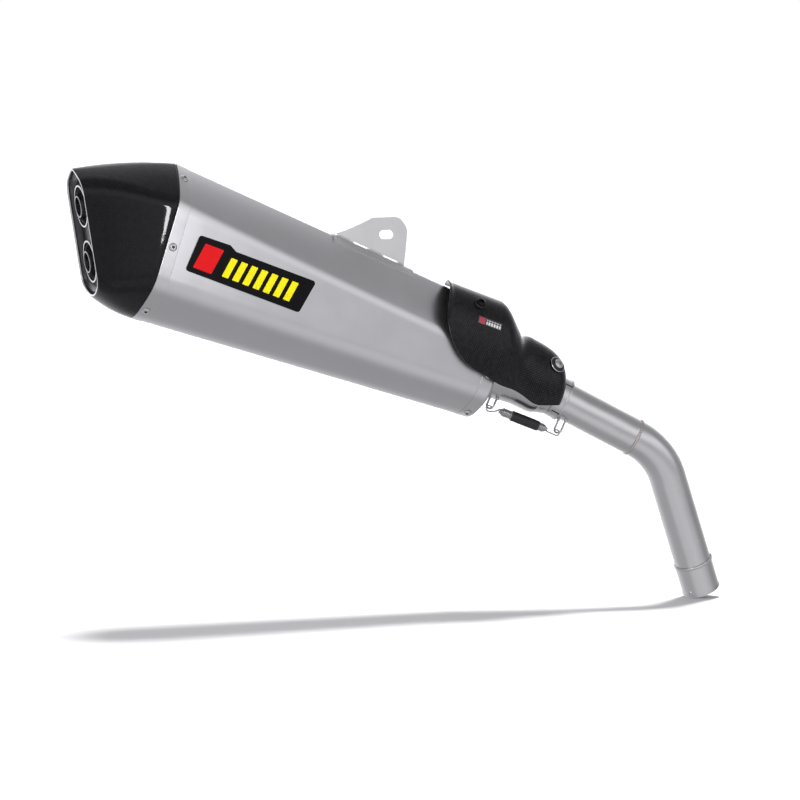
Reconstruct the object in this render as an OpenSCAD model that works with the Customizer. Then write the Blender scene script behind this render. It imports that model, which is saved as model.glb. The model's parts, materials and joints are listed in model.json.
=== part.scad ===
// Motorcycle slip-on exhaust muffler with its link pipe, in millimetres.
// The muffler body sits on the upper end of a bent link pipe and is pulled
// on by one hooked spring.  Origin: centre of the link pipe's socket mouth.
// +X points to the front of the motorcycle, +Y to its middle, +Z up.

/* [Link pipe] */
// Outer diameter of the link pipe
pipe_d = 45; // [38:0.5:54]
// Wall of the link pipe
pipe_wall = 1.5; // [1:0.1:2.5]
// Inner diameter of the socket that slides over the header tube
socket_d = 42.6; // [35:0.1:50]
// Outer diameter of the socket sleeve
socket_od = 46.4; // [40:0.1:56]
// Length of the socket sleeve
socket_len = 38; // [25:1:60]
// Length from the socket mouth to the corner of the bend, on the centre line
lower_len = 193; // [150:1:260]
// Lean of the lower leg away from vertical
lower_lean = 24.8; // [0:0.1:45]
// Heading of the lower leg, turned from +X to +Y
lower_heading = 27.2; // [0:0.1:60]
// Centre-line radius of the bend
bend_r = 90; // [60:1:140]
// Length from the corner of the bend to the muffler neck centre
upper_len = 225; // [180:1:300]
// Slope of the upper tube
upper_slope = 27.8; // [10:0.1:45]
// Sideways turn of the upper tube
upper_turn = 8.9; // [0:0.1:20]
// How far the link pipe ends short of the neck centre
pipe_end_gap = 44; // [30:1:70]
// Size of the weld beads
weld_r = 1.7; // [1:0.1:3]

/* [Canister] */
// Slope of the muffler axis, outlet end up
muffler_tilt = 20.3; // [0:0.1:45]
// Length of the canister from the front band to the rear seam
body_len = 427; // [300:1:600]
// Half height of the canister at the front band
front_h = 67.3; // [50:0.1:90]
// Half width of the canister at the front band
front_w = 47; // [35:0.1:70]
// Half height of the canister at the rear seam
rear_h = 93.8; // [60:0.1:120]
// Half width of the canister at the rear seam
rear_w = 64.5; // [40:0.1:90]
// Lean of the rear seam, top to the rear
rear_lean = 2.9; // [0:0.1:10]
// Wall of the canister sleeve
sleeve_t = 1.2; // [0.8:0.1:2]
// Width of the riveted bands
band_w = 15; // [8:0.5:20]
// Thickness of the riveted bands
band_t = 0.7; // [0.5:0.1:1.5]
// Length of the front cap beyond the front band line
cap_lip = 14; // [8:0.5:24]

/* [Rivets] */
// Rivet head diameter
rivet_d = 10; // [8:0.1:13]
// Rivet head height
rivet_h = 1.9; // [1:0.1:3]
// Rivet shank diameter
rivet_shank = 4.8; // [3:0.1:6.4]
// Bore left by the rivet's pulled mandrel
rivet_bore = 3.6; // [2:0.1:4]

/* [Rear cap] */
// Distance of the outlet face centre behind the front band, along the axis
face_x = 509.9; // [450:0.1:600]
// Drop of the outlet face centre below the axis
face_drop = 20.1; // [0:0.1:60]
// Lean of the outlet face from square
face_lean = 29.35; // [0:0.05:45]
// Half length of the outlet face
face_h = 75.6; // [50:0.1:100]
// Half width of the outlet face
face_w = 38; // [25:0.1:60]
// Outward crown of the rear cap
cap_crown = 4; // [0:0.1:15]
// Wall of the rear cap
cap_t = 2.2; // [1.5:0.1:4]
// Depth of the outlet plate below the rim
plate_depth = 8; // [4:0.5:20]

/* [Outlets] */
// Centre distance of the two outlets
outlet_gap = 65; // [55:0.5:90]
// Shift of the outlet pair up the outlet face
outlet_shift = -2.1; // [-6:0.1:6]
// Outer diameter of an outlet tube
outlet_d = 49.5; // [35:0.5:60]
// Wall of an outlet tube
outlet_wall = 1.8; // [1:0.1:3]
// Length of an outlet tube
outlet_len = 62; // [40:1:90]
// Depth of the outlet tube rim below the cap rim
outlet_depth = 3.5; // [0:0.5:10]
// Outer diameter of the noise insert's inner tube
insert_d = 25.5; // [18:0.5:35]
// Wall of the noise insert's inner tube
insert_wall = 1.3; // [1:0.1:2]
// Length of the noise insert's inner tube
insert_len = 46; // [30:1:80]

/* [Inside] */
// Outer diameter of the perforated core
core_d = 54; // [45:0.5:60]
// Wall of the perforated core
core_wall = 1.2; // [1:0.1:2]
// Hole diameter of the perforated core
core_hole = 7; // [3:0.5:10]
// Number of hole rows along the core
core_rows = 12; // [6:1:24]

/* [Hanger] */
// Thickness of the hanger plate
hanger_t = 4; // [3:0.5:6]
// Length of the hanger slot
slot_len = 18.4; // [10:0.1:25]
// Width of the hanger slot
slot_w = 11; // [6:0.1:14]

/* [Heat shield] */
// Half height of the heat shield over the canister
shield_h = 78.5; // [70:0.1:95]
// Half width of the heat shield over the canister
shield_w = 58; // [50:0.1:75]
// Half height of the heat shield nose
nose_h = 49.5; // [40:0.1:60]
// Half width of the heat shield nose
nose_w = 42; // [36:0.1:60]
// Rear end of the heat shield
shield_rear = 72; // [50:1:100]
// Front end of the heat shield
shield_front = 110.5; // [100:0.5:112]
// Thickness of the heat shield
shield_t = 2; // [1.5:0.1:4]
// Outward flare of the shield's rear edge
flare = 2.5; // [0:0.1:4]

/* [Spring] */
// Wire diameter of the spring
wire_d = 1.8; // [1.4:0.1:2.4]
// Outer diameter of the spring coil
coil_d = 10.6; // [8:0.1:14]
// Length of the spring coil
coil_len = 66; // [50:1:80]
// Outer diameter of the rubber sleeve on the spring
boot_d = 12.4; // [11:0.1:16]
// Length of the rubber sleeve on the spring
boot_len = 36; // [20:1:50]
// Turn of the spring around the inlet axis from straight down
spring_turn = 16; // [0:1:45]

/* [Badge] */
// Length of the side badge
badge_len = 142; // [80:1:160]
// Height of the side badge
badge_h = 41; // [20:1:60]

/* [Hidden] */

// ---- directions and key points ----
dl = [-sin(lower_lean) * cos(lower_heading), -sin(lower_lean) * sin(lower_heading),
      cos(lower_lean)];
du = [-cos(upper_slope) * cos(upper_turn), cos(upper_slope) * sin(upper_turn),
      sin(upper_slope)];
corner = lower_len * dl;
bend_a = acos(dl * du);
bend_tan = bend_r * tan(bend_a / 2);
neck_c = corner + upper_len * du;
neck_off = [35.3, 0.2, 4];
function fwd(p) = [p.x * cos(muffler_tilt) + p.z * sin(muffler_tilt), p.y,
                   -p.x * sin(muffler_tilt) + p.z * cos(muffler_tilt)];
function back(p) = [p.x * cos(muffler_tilt) - p.z * sin(muffler_tilt), p.y,
                    p.x * sin(muffler_tilt) + p.z * cos(muffler_tilt)];
front_c = neck_c - fwd(neck_off);
dn = -1 * back(du);
function unit(v) = v / norm(v);
pipe_r = pipe_d / 2;
gap = 0.05;

module frame(o, ex, ez) {
    ey = cross(ez, ex);
    multmatrix([[ex.x, ey.x, ez.x, o.x], [ex.y, ey.y, ez.y, o.y], [ex.z, ey.z, ez.z, o.z],
                [0, 0, 0, 1]]) children();
}
// lower leg: local z runs up the leg, local x to the inside of the bend
bend_x = unit(du - (du * dl) * dl);
module on_lower(z) frame(z * dl, bend_x, dl) children();
// upper tube: local z runs from the bend to the muffler, local x points down
down_x = unit([0, 0, -1] + (du * [0, 0, 1]) * du);
module on_upper(z) frame(corner + z * du, down_x, du) children();
// muffler: local x forward along its axis, y across, z up
module on_muffler() translate(front_c) rotate([0, muffler_tilt, 0]) children();
// outlet face: local z out of the face, local x up the face
module on_face() on_muffler() translate([-face_x, 0, -face_drop])
    rotate([0, -90 - face_lean, 0]) children();

// one outlet, upper (s = 1) or lower (s = -1): local z along the outlet, out of the face
module on_outlet(s) on_face() translate([s * outlet_gap / 2 + outlet_shift, 0, 0]) children();

// ---- rounded six-sided section ----
arc_n = 4;
function arc_pts(cx, cz, r, f0, f1, i0) = [for (i = [i0:arc_n]) let(f = mix(f0, f1, i / arc_n))
    [cx + r * sin(f), cz + r * cos(f)]];
// a quarter from the top edge to the flank. q is [height of the shoulder as a share of h, slope
// at the shoulder, how much the oblique face bends, shoulder radius]; t is the inward offset
function quarter(h, w, q, t) = let(b = q[1], a = b - q[2], r = q[3],
    z = q[0] * h - r * (1 - sin(b)) / cos(b),
    p1 = sin(a), p2 = sin(b) - sin(a), p3 = w - r * (1 - sin(b)),
    q1 = 1 - cos(a), q2 = cos(a) - cos(b), q3 = h - z - r * cos(b),
    ra = (p3 * q2 - q3 * p2) / (p1 * q2 - q1 * p2),
    rb = (p1 * q3 - q1 * p3) / (p1 * q2 - q1 * p2))
    concat(arc_pts(0, h - ra, ra - t, 0, a, 0),
        arc_pts((ra - rb) * sin(a), h - ra + (ra - rb) * cos(a), rb - t, a, b, 1),
        arc_pts(w - r, z, r - t, b, 90, 1));
function flip(p) = [for (i = [len(p) - 1:-1:0]) [p[i].x, -p[i].y]];
function half_sec(h, w, top, low, t) = concat(quarter(h, w, top, t), flip(quarter(h, w, low, t)));
function full_sec(p) = concat(p, [for (i = [len(p) - 2:-1:1]) [-p[i].x, p[i].y]]);
// place a flat section [across, up] at x, z with a lean
function place(p, x, z, lean) = [for (q = p) [x - q.y * sin(lean), q.x, z + q.y * cos(lean)]];
function mix(a, b, f) = a + (b - a) * f;

// canister stations: f = 0 at the front band line, f = 1 at the rear seam
front_top = [0.163, 64, 22, 27];
front_low = [0.6, 41, 8, 30];
rear_top = [0.52, 45, 17.5, 23];
rear_low = [0.555, 45.5, 10, 35];
function body_sec(f, t) = full_sec(half_sec(mix(front_h, rear_h, f), mix(front_w, rear_w, f),
    mix(front_top, rear_top, f), mix(front_low, rear_low, f), t));
function body_ring(f, t) = place(body_sec(f, t), -f * body_len, 0, f * rear_lean);
function fx(x) = -x / body_len;

// rear cap stations: s = 0 at the seam, s = 1 at the outlet face
face_top = [0.76, 30, 5, 26];
face_low = [0.8, 34, 5, 20];
function bulge(s) = cap_crown * (1 - pow(2 * s - 1, 2));
function cap_ring(s, t) = let(
    tb = mix([-body_len - rear_h * sin(rear_lean), rear_h * cos(rear_lean)],
             [-face_x - face_h * sin(face_lean), -face_drop + face_h * cos(face_lean)], s)
         + bulge(s) * [-0.35, 0.94],
    bb = mix([-body_len + rear_h * sin(rear_lean), -rear_h * cos(rear_lean)],
             [-face_x + face_h * sin(face_lean), -face_drop - face_h * cos(face_lean)], s)
         + bulge(s) * [-0.17, -0.6],
    d = tb - bb, c = (tb + bb) / 2, h = norm(d) / 2, g = s * s * (3 - 2 * s),
    w = mix(rear_w, face_w, pow(s, 1.25)) + 3.5 * sin(180 * s))
    place(full_sec(half_sec(h, w, mix(rear_top, face_top, g), mix(rear_low, face_low, g), t)),
        c.x, c.y, atan2(-d.x, d.y));

// ---- lofted shells, closed by construction ----
function flat(a) = [for (r = a) each r];
function quads(a, b, n, turn) = [for (i = [0:n - 1]) let(j = (i + 1) % n)
    each turn ? [[a + i, a + j, b + j], [a + i, b + j, b + i]]
              : [[a + i, b + j, a + j], [a + i, b + i, b + j]]];
module shell(outer, inner) {
    n = len(outer[0]);
    m = len(outer);
    polyhedron(points = concat(flat(outer), flat(inner)), faces = concat(
        [for (k = [0:m - 2]) each quads(k * n, (k + 1) * n, n, true)],
        [for (k = [0:m - 2]) each quads((m + k) * n, (m + k + 1) * n, n, false)],
        quads(0, m * n, n, false),
        quads((m - 1) * n, (2 * m - 1) * n, n, true)), convexity = 8);
}
// open patch with thickness: rows of points, outer and inner side
module patch(outer, inner) {
    n = len(outer[0]);
    m = len(outer);
    o = m * n;
    polyhedron(points = concat(flat(outer), flat(inner)), faces = concat(
        [for (k = [0:m - 2], i = [0:n - 2]) let(a = k * n + i, b = a + n)
            each [[a, a + 1, b + 1], [a, b + 1, b]]],
        [for (k = [0:m - 2], i = [0:n - 2]) let(a = o + k * n + i, b = a + n)
            each [[a, b + 1, a + 1], [a, b, b + 1]]],
        [for (i = [0:n - 2]) each [[i, o + i + 1, i + 1], [i, o + i, o + i + 1]]],
        [for (i = [0:n - 2]) let(a = (m - 1) * n + i)
            each [[a, a + 1, o + a + 1], [a, o + a + 1, o + a]]],
        [for (k = [0:m - 2]) let(a = k * n, b = a + n)
            each [[a, b, o + b], [a, o + b, o + a]]],
        [for (k = [0:m - 2]) let(a = k * n + n - 1, b = a + n)
            each [[a, o + b, b], [a, o + a, o + b]]]), convexity = 8);
}
module tube(ro, ri, h) difference() {
    cylinder(r = ro, h = h, $fn = 96);
    translate([0, 0, -1]) cylinder(r = ri, h = h + 2, $fn = 96);
}
module bead(r, rw) rotate_extrude($fn = 96) translate([r, 0]) circle(r = rw, $fn = 24);

// ---- link pipe ----
module inlet_sleeve() color("silver") on_lower(0) difference() {
    union() {
        cylinder(d = socket_od, h = socket_len, $fn = 96);
        cylinder(d = socket_od + 0.9, h = 2.5, $fn = 96);
    }
    translate([0, 0, -1]) cylinder(d = socket_d, h = socket_len + 2, $fn = 96);
    // small drain hole near the mouth
    rotate([0, 0, 55]) translate([socket_d / 2 - 3, 0, 7]) rotate([0, 90, 0])
        cylinder(d = 3.2, h = 8, $fn = 24);
}
module sleeve_weld() color("gainsboro") on_lower(socket_len + 1.2) difference() {
    bead(socket_od / 2 - 0.4, weld_r);
    translate([0, 0, -5]) cylinder(r = pipe_r + gap, h = 10, $fn = 96);
    translate([0, 0, -6.2 + gap]) cylinder(r = socket_od / 2 + 5, h = 5, $fn = 96);
}
leg_top = lower_len - bend_tan;
module lower_tube() color("silver") on_lower(socket_len + gap)
    tube(pipe_r, pipe_r - pipe_wall, leg_top - socket_len - 2 * gap);
module pipe_bend() color("silver") frame(leg_top * dl + bend_r * bend_x, -1 * bend_x,
    cross(dl, bend_x)) rotate_extrude(angle = bend_a, $fn = 180) translate([bend_r, 0])
        difference() {
            circle(r = pipe_r, $fn = 96);
            circle(r = pipe_r - pipe_wall, $fn = 96);
        }
module bend_weld() color("gainsboro") on_upper(bend_tan + 1.5) difference() {
    bead(pipe_r - 0.3, weld_r);
    translate([0, 0, -5]) cylinder(r = pipe_r + gap, h = 10, $fn = 96);
}
module upper_tube() color("silver") {
    z0 = bend_tan + gap;
    on_upper(z0) tube(pipe_r, pipe_r - pipe_wall, upper_len - pipe_end_gap - z0);
}
// bent wire eye; local x points away from the tube, local z along it
eye_r = 4.8;
eye_wire = 2.5;
module wire_eye(r0, r1) rotate([45, 0, 0]) {
    for (s = [-1, 1]) {
        translate([r0, 0, s * eye_r]) rotate([0, 90, 0])
            cylinder(d = eye_wire, h = r1 - eye_r - r0 + 0.01, $fn = 24);
        translate([r0 + 0.4, 0, s * (eye_r + 0.4)]) sphere(r = 2.2, $fn = 24);
    }
    translate([r1 - eye_r, 0, 0]) rotate([90, 0, 0]) rotate([0, 0, -90])
        rotate_extrude(angle = 180, $fn = 64) translate([eye_r, 0])
            circle(d = eye_wire, $fn = 24);
}
eye_z = 128;
eye_end = 40.7;
module spring_eye() color("silver") on_upper(eye_z) rotate([0, 0, spring_turn])
    wire_eye(pipe_r - 0.4, eye_end);

// ---- sliding joint ----
ring_z = upper_len - 89;
collar_len = 18;
seal_ri = pipe_r + 0.05;
seal_ro = pipe_r + 1.45;
collar_ri = pipe_r + 1.5;
collar_ro = pipe_r + 3;
module seal_ring() color("dimgray") on_upper(ring_z + 0.4) tube(seal_ro, seal_ri, 24);
module inlet_collar() color("silver") on_upper(ring_z) difference() {
    union() {
        tube(collar_ro, collar_ri, 27);
        tube(collar_ro + 1, collar_ri, 2.2);
    }
    for (a = [45:90:315]) rotate([0, 0, a]) translate([pipe_r - 1, -1, -1])
        cube([8, 2, 13]);
}
module inlet_neck() color("silver") on_upper(ring_z) rotate_extrude($fn = 96) polygon([
    [collar_ro + gap, 15], [29.4, 26.4], [31.6, 30.5], [33, 37.4], [33.2, 47], [33.9, 58],
    [35.9, 70], [38, 79], [40.2, 98.3], [38.7, 98.3], [36.6, 79.5], [34.4, 70.5], [32.4, 58.4],
    [31.7, 47.4], [31.5, 38], [30.2, 31.6], [28.3, 28], [collar_ro + gap, 19]]);
neck_w_z = 97.4;
module neck_weld() color("gainsboro") on_upper(ring_z + neck_w_z) difference() {
    bead(40.6, 2.1);
    translate([0, 0, -6]) cylinder(r1 = 39.65, r2 = 40.85, h = 12, $fn = 96);
}

// ---- front end of the muffler, all in muffler coordinates ----
ny = unit([0, 1, 0] - (dn * [0, 1, 0]) * dn);
nz = cross(dn, ny);
function neck_ring(x, r) = let(n = len(body_sec(0, 0)), s = body_sec(0, 0),
    c = neck_off + dn * ((x - neck_off.x) / dn.x))
    [for (q = s) let(a = atan2(q.x, q.y)) c + r * (ny * sin(a) + nz * cos(a))];
function blend_ring(x, t, r, f) = let(a = body_ring(fx(x), t), b = neck_ring(x, r))
    [for (i = [0:len(a) - 1]) mix(a[i], b[i], f)];
lip_x = cap_lip;
module front_cap() color("silver") on_muffler() {
    t0 = sleeve_t + 0.15;
    t1 = t0 + 1.5;
    outer = [body_ring(fx(-12), t0), body_ring(fx(lip_x), t0), body_ring(fx(lip_x), 0),
             body_ring(fx(lip_x + 2), 0.5), body_ring(fx(lip_x + 3.6), 1.9),
             body_ring(fx(lip_x + 4.4), 4.2), blend_ring(lip_x + 5, 0, 43, 0.55),
             neck_ring(26, 40.9)];
    inner = [body_ring(fx(-12), t1), body_ring(fx(lip_x - 2), t1),
             body_ring(fx(lip_x - 0.5), t1 + 0.1), body_ring(fx(lip_x), t1 + 0.3),
             body_ring(fx(lip_x + 1.6), t1 + 1), body_ring(fx(lip_x + 2.6), t1 + 2.2),
             blend_ring(lip_x + 3.4, 1.5, 42, 0.55), neck_ring(24, 40.9)];
    shell(outer, inner);
}
sleeve_x0 = lip_x - 0.1;
module canister_sleeve() color("lightgray") on_muffler() {
    st = [fx(sleeve_x0), for (i = [0:7]) i / 8, 1];
    shell([for (f = st) body_ring(f, 0)], [for (f = st) body_ring(f, sleeve_t)]);
}
module band(f0, f1) on_muffler()
    shell([for (f = [f0, f1]) body_ring(f, -band_t)], [for (f = [f0, f1]) body_ring(f, -0.1)]);
module front_band() color("gainsboro") band(fx(0), fx(band_w));
module rear_band() color("gainsboro") band(1 - band_w / body_len, 1 - 0.2 / body_len);

// a point on the sleeve, k counted down the half section, and the slope of its outward normal
function surf_pt(f, k) = let(s = body_sec(f, 0), i = floor(k), g = k - i,
    q = mix(s[i], s[i + 1], g)) place([q], -f * body_len, 0, f * rear_lean)[0];
function surf_turn(f, k) = let(s = body_sec(f, 0), d = s[floor(k) + 1] - s[floor(k)])
    atan2(-d.y, d.x);
module rivet() {
    difference() {
        union() {
            rotate_extrude($fn = 48) polygon([[0, 0], [rivet_d / 2, 0], [rivet_d / 2, 0.4],
                [rivet_d / 2 - 0.9, 1.15], [rivet_d / 2 - 2.1, 1.65], [2.6, rivet_h],
                [0, rivet_h]]);
            translate([0, 0, -5.4]) cylinder(d = rivet_shank, h = 5.5, $fn = 32);
            translate([0, 0, -6.4]) cylinder(d = rivet_shank + 1.4, h = 1.2, $fn = 32);
        }
        translate([0, 0, -0.8]) cylinder(d = rivet_bore, h = 4, $fn = 24);
    }
}
module rivets_at(f, list) on_muffler() for (k = list, s = [1, -1]) {
    p = surf_pt(f, k);
    translate([p.x, s * p.y, p.z]) rotate([-s * surf_turn(f, k), 0, 0])
        translate([0, 0, band_t + 0.1]) rivet();
}
rear_list = [5.6, 12.55, 20.35];
front_list = [5.75, 12.55, 21.55];
module rear_rivets() color("white") rivets_at(1 - band_w / 2 / body_len, rear_list);
module front_rivets() color("white") rivets_at(fx(band_w / 2), front_list);

// ---- rear cap ----
cap_s = [0, 0.12, 0.25, 0.4, 0.55, 0.7, 0.82, 0.91, 0.97, 1];
flange_f = 1 - 13 / body_len;
module end_cap() color([0.13, 0.13, 0.14]) on_muffler() {
    t0 = sleeve_t + 0.15;
    outer = concat([body_ring(flange_f, t0), body_ring(1.0001, t0)],
                   [for (s = cap_s) cap_ring(s, -band_t * (1 - s) * 0.5)]);
    inner = concat([body_ring(flange_f, t0 + 1.6), body_ring(1.0001, t0 + 1.6)],
                   [for (s = cap_s) cap_ring(s, s == 0 ? t0 + 1.6 : cap_t)]);
    shell(outer, inner);
}
liner_s = [0.12, 0.25, 0.4, 0.55, 0.7, 0.8];
module tail_liner() color("silver") on_muffler() {
    shell([for (s = liner_s) cap_ring(s, cap_t + 2)],
          [for (s = liner_s) cap_ring(s, cap_t + 3.2)]);
}
// flat section of the outlet face: x up, y across
function face_sec(t) = [for (q = full_sec(half_sec(face_h, face_w, face_top, face_low, t)))
    [q.y, q.x]];
module outlet_plate() color([0.2, 0.2, 0.21]) on_face() difference() {
    translate([0, 0, -plate_depth - 1.5]) linear_extrude(1.5) polygon(face_sec(cap_t + 0.7));
    for (s = [-1, 1]) translate([s * outlet_gap / 2 + outlet_shift, 0, -plate_depth - 3])
        cylinder(d = outlet_d + 0.4, h = 6, $fn = 96);
}
module outlet_tube() {
    translate([0, 0, -outlet_depth - outlet_len]) difference() {
        union() {
            cylinder(d = outlet_d, h = outlet_len, $fn = 96);
            // rolled rim
            translate([0, 0, outlet_len - 0.9]) bead(outlet_d / 2 - 0.6, 0.9);
            // stop flange against the plate
            translate([0, 0, outlet_len - plate_depth - 1])
                cylinder(d = outlet_d + 4, h = 1.2, $fn = 96);
        }
        translate([0, 0, -1]) cylinder(d = outlet_d - 2 * outlet_wall, h = outlet_len + 4,
            $fn = 96);
    }
}
module outlet_tube_upper() color("gainsboro") on_outlet(1)
    outlet_tube();
module outlet_tube_lower() color("gainsboro") on_outlet(-1)
    outlet_tube();
insert_r = outlet_d / 2 - outlet_wall - 0.05;
module noise_insert() {
    top = 0.2;
    difference() {
        union() {
            translate([0, 0, -top - insert_len]) cylinder(d = insert_d, h = insert_len,
                $fn = 64);
            translate([0, 0, -outlet_depth - 24]) cylinder(r = insert_r, h = 13, $fn = 96);
        }
        translate([0, 0, -top - insert_len - 1]) cylinder(d = insert_d - 2 * insert_wall,
            h = insert_len + 2, $fn = 64);
        // dished ring between the inner tube and the skirt
        translate([0, 0, -outlet_depth - 22.6]) difference() {
            cylinder(r = insert_r - 1.4, h = 14, $fn = 96);
            translate([0, 0, -1]) cylinder(d = insert_d, h = 16, $fn = 64);
        }
        // threaded hole for the screw
        translate([0, 0, -outlet_depth - 16]) rotate([0, 90, -90])
            translate([0, 0, insert_d / 2 + 4]) cylinder(d = 4.2, h = outlet_d, $fn = 32);
    }
}
module noise_insert_upper() color("silver") on_outlet(1)
    noise_insert();
module noise_insert_lower() color("silver") on_outlet(-1)
    noise_insert();
// lock screw between the inner tube and the skirt of an insert
module insert_screw() translate([0, 0, -outlet_depth - 16]) rotate([0, 90, -90]) {
    translate([0, 0, insert_d / 2 + 0.1]) difference() {
        cylinder(d = 7, h = 3.4, $fn = 32);
        translate([0, 0, -1]) cylinder(d = 3.6, h = 3, $fn = 6);
    }
    translate([0, 0, insert_d / 2 + 3.4]) cylinder(d = 4, h = insert_r - insert_d / 2 - 3.7,
        $fn = 32);
}
module insert_screw_upper() color("gray") on_outlet(1)
    insert_screw();
module insert_screw_lower() color("gray") on_outlet(-1)
    insert_screw();

// ---- inside ----
core_z0 = -400;
core_z1 = 28;
module baffle(x, t, hole) on_muffler() difference() {
    shell_plate(x, t);
    translate([x - 5, 0, 0]) rotate([0, 90, 0]) cylinder(d = hole, h = 12, $fn = 96);
}
module shell_plate(x, t) {
    a = body_ring(fx(x), sleeve_t + 3.4);
    b = body_ring(fx(x - t), sleeve_t + 3.4);
    n = len(a);
    polyhedron(points = concat(a, b, [[x, 0, 0], [x - t, 0, 0]]), faces = concat(
        quads(0, n, n, true),
        [for (i = [0:n - 1]) [i, 2 * n, (i + 1) % n]],
        [for (i = [0:n - 1]) [n + i, n + (i + 1) % n, 2 * n + 1]]), convexity = 4);
}
module front_baffle() color("gray") baffle(-14, 1.5, core_d + 0.1);
module rear_baffle() color("gray") baffle(-393, 1.5, core_d + 0.1);
module perforated_core() color("silver") on_muffler() difference() {
    translate([core_z0, 0, 0]) rotate([0, 90, 0]) tube(core_d / 2, core_d / 2 - core_wall,
        core_z1 - core_z0);
    for (i = [0:core_rows - 1], a = [0:45:135])
        translate([-35 - i * 340 / (core_rows - 1), 0, 0]) rotate([a + 11 + 22.5 * (i % 2), 0, 0])
            cylinder(d = core_hole, h = core_d + 10, center = true, $fn = 8);
}
module packing_wool() color([0.85, 0.8, 0.6]) on_muffler() {
    st = [fx(-17), 0.25, 0.5, 0.75, -fx(1) * 0 + 390 / body_len];
    n = len(body_sec(0, 0));
    shell([for (f = st) body_ring(f, sleeve_t + 0.6)],
          [for (f = st) [for (i = [0:n - 1]) let(a = 360 * i / n, r = core_d / 2 + 0.6)
              [-f * body_len, r * sin(a), r * cos(a)]]]);
}

// ---- hanger ----
module hanger_saddle() color("gainsboro") on_muffler() {
    xs = [-219, -165, -111];
    ks = [-4.6, -4, -3, -2, -1, 0, 1, 2, 3, 4, 4.6];
    patch([for (x = xs) [for (k = ks) saddle_pt(x, k, 1.9)]],
          [for (x = xs) [for (k = ks) saddle_pt(x, k, 0.25)]]);
}
// a point on the top of the sleeve, k section points to one side of the crest
function saddle_pt(x, k, t) = let(f = fx(x), s = body_sec(f, -t), i = floor(abs(k)),
    q = mix(s[i], s[i + 1], abs(k) - i))
    place([[q.x * sign(k), q.y]], x, 0, f * rear_lean)[0];
hole_x = -157.3;
hole_z = 104.3;
module hanger_plate() color("gainsboro") on_muffler() rotate([90, 0, 0])
    translate([0, 0, -hanger_t / 2]) linear_extrude(hanger_t) difference() {
        union() {
            polygon([[-216.5, 84.6], [-206.7, 92], [-190.7, 106.5], [-182, 115.8],
                     [-178.6, 118.2], [-153.2, 128.1], [-149.2, 128.4], [-145, 127],
                     [-139.6, 123.6], [-136.2, 120.2], [-133.6, 116], [-132.4, 112.2],
                     [-123.4, 76.9], [-132, 77.4], [-132.6, 79.3], [-152, 80.5],
                     [-152.4, 78.6], [-173, 79.9], [-173.6, 81.8], [-193, 83],
                     [-193.6, 81.1]]);
        }
        translate([hole_x, hole_z]) rotate(muffler_tilt) {
            for (s = [-1, 1]) translate([s * (slot_len - slot_w) / 2, 0])
                circle(d = slot_w, $fn = 48);
            square([slot_len - slot_w, slot_w], center = true);
        }
    }
module hanger_welds() color("gainsboro") on_muffler()
    for (p = [[-212, -197], [-170, -155], [-131, -125]], s = [-1, 1]) {
        a = saddle_pt(p[0], 0, 1.9);
        b = saddle_pt(p[1], 0, 1.9);
        translate([a.x, s * (hanger_t / 2 + 0.75), a.z + 0.5])
            rotate([0, 90 + atan2(a.z - b.z, b.x - a.x), 0])
                cylinder(r = 1.3, h = norm(b - a), $fn = 16);
    }

// ---- heat shield ----
function sm(t) = let(c = min(1, max(0, t))) c * c * (3 - 2 * c);
function sh_c(x) = let(s = sm((x - 5) / 60)) [x, neck_off.y * s + dn.y / dn.x
    * (x - neck_off.x) * s, (neck_off.z + dn.z / dn.x * (x - neck_off.x)) * s];
function sh_q(x) = pow(max(0, 1 - pow(max(0, (x - 52) / 61.5), 4)), 0.5);
// outward flare of the rear edge
function sh_f(x) = flare * (1 - sm((x + shield_rear) / 8));
function sh_h(x) = mix(shield_h, nose_h, sm((x - 3) / 42))
    * mix(1, pow(sh_q(x), 0.7), sm((x - 40) / 30))
    - 4 * sm((x - 33) / 10) * (1 - sm((x - 45) / 12));
function sh_w(x) = mix(shield_w, nose_w, sm((x - 12) / 50))
    * mix(1, pow(sh_q(x), 0.5), sm((x - 40) / 30));
function sh_n(x) = mix(2.5, 2.1, sm((x - 12) / 50));
function sh_pt(x, a, t) = let(n = sh_n(x), w = sh_w(x) - t, h = sh_h(x) - t,
    r = pow(pow(abs(sin(a)) / w, n) + pow(abs(cos(a)) / h, n), -1 / n))
    sh_c(x) + [0, -(r + sh_f(x)) * sin(a), (r + sh_f(x)) * cos(a)];
// lower and upper edge angle of the shield at x
function sh_lo(x) = x < -3 ? 44 + 61 * pow(max(0, 1 - pow(min(1, (-3 - x) / 70.8), 2.2)), 0.77)
                  : 105 + 21 * min(1, (x + 3) / 83) - 15 * sm((x - 70) / 40);
function sh_up(x) = x < -60 ? mix(28, -14, pow((x + shield_rear) / (shield_rear - 60), 0.6))
                  : -14;
sh_xs = [for (x = [-shield_rear, -71, -69, -66, -62, -57, -50, -42, -32, -20, -8, 4, 12, 20,
    27, 34, 41, 47, 53, 60, 68, 76, 84, 91, 97, 102, 106, 108.5, shield_front]) x];
sh_na = 16;
function sh_row(x, t) = [for (i = [0:sh_na]) sh_pt(x, mix(sh_up(x), sh_lo(x), i / sh_na), t)];
module heat_shield() color([0.12, 0.12, 0.13]) on_muffler()
    patch([for (x = sh_xs) sh_row(x, 0)], [for (x = sh_xs) sh_row(x, shield_t)]);

// screws of the heat shield: station and angle
nose_screw = [89, 46];
top_screw = [-31, 33];
function sh_nrm(x, a) = -1 * unit(cross(sh_pt(x + 1, a, 0) - sh_pt(x - 1, a, 0),
                                        sh_pt(x, a + 1, 0) - sh_pt(x, a - 1, 0)));
module at_shield(p) {
    n = sh_nrm(p[0], p[1]);
    e = unit([0, 0, 1] - (n * [0, 0, 1]) * n);
    frame(sh_pt(p[0], p[1], 0), e, n) children();
}
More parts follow.
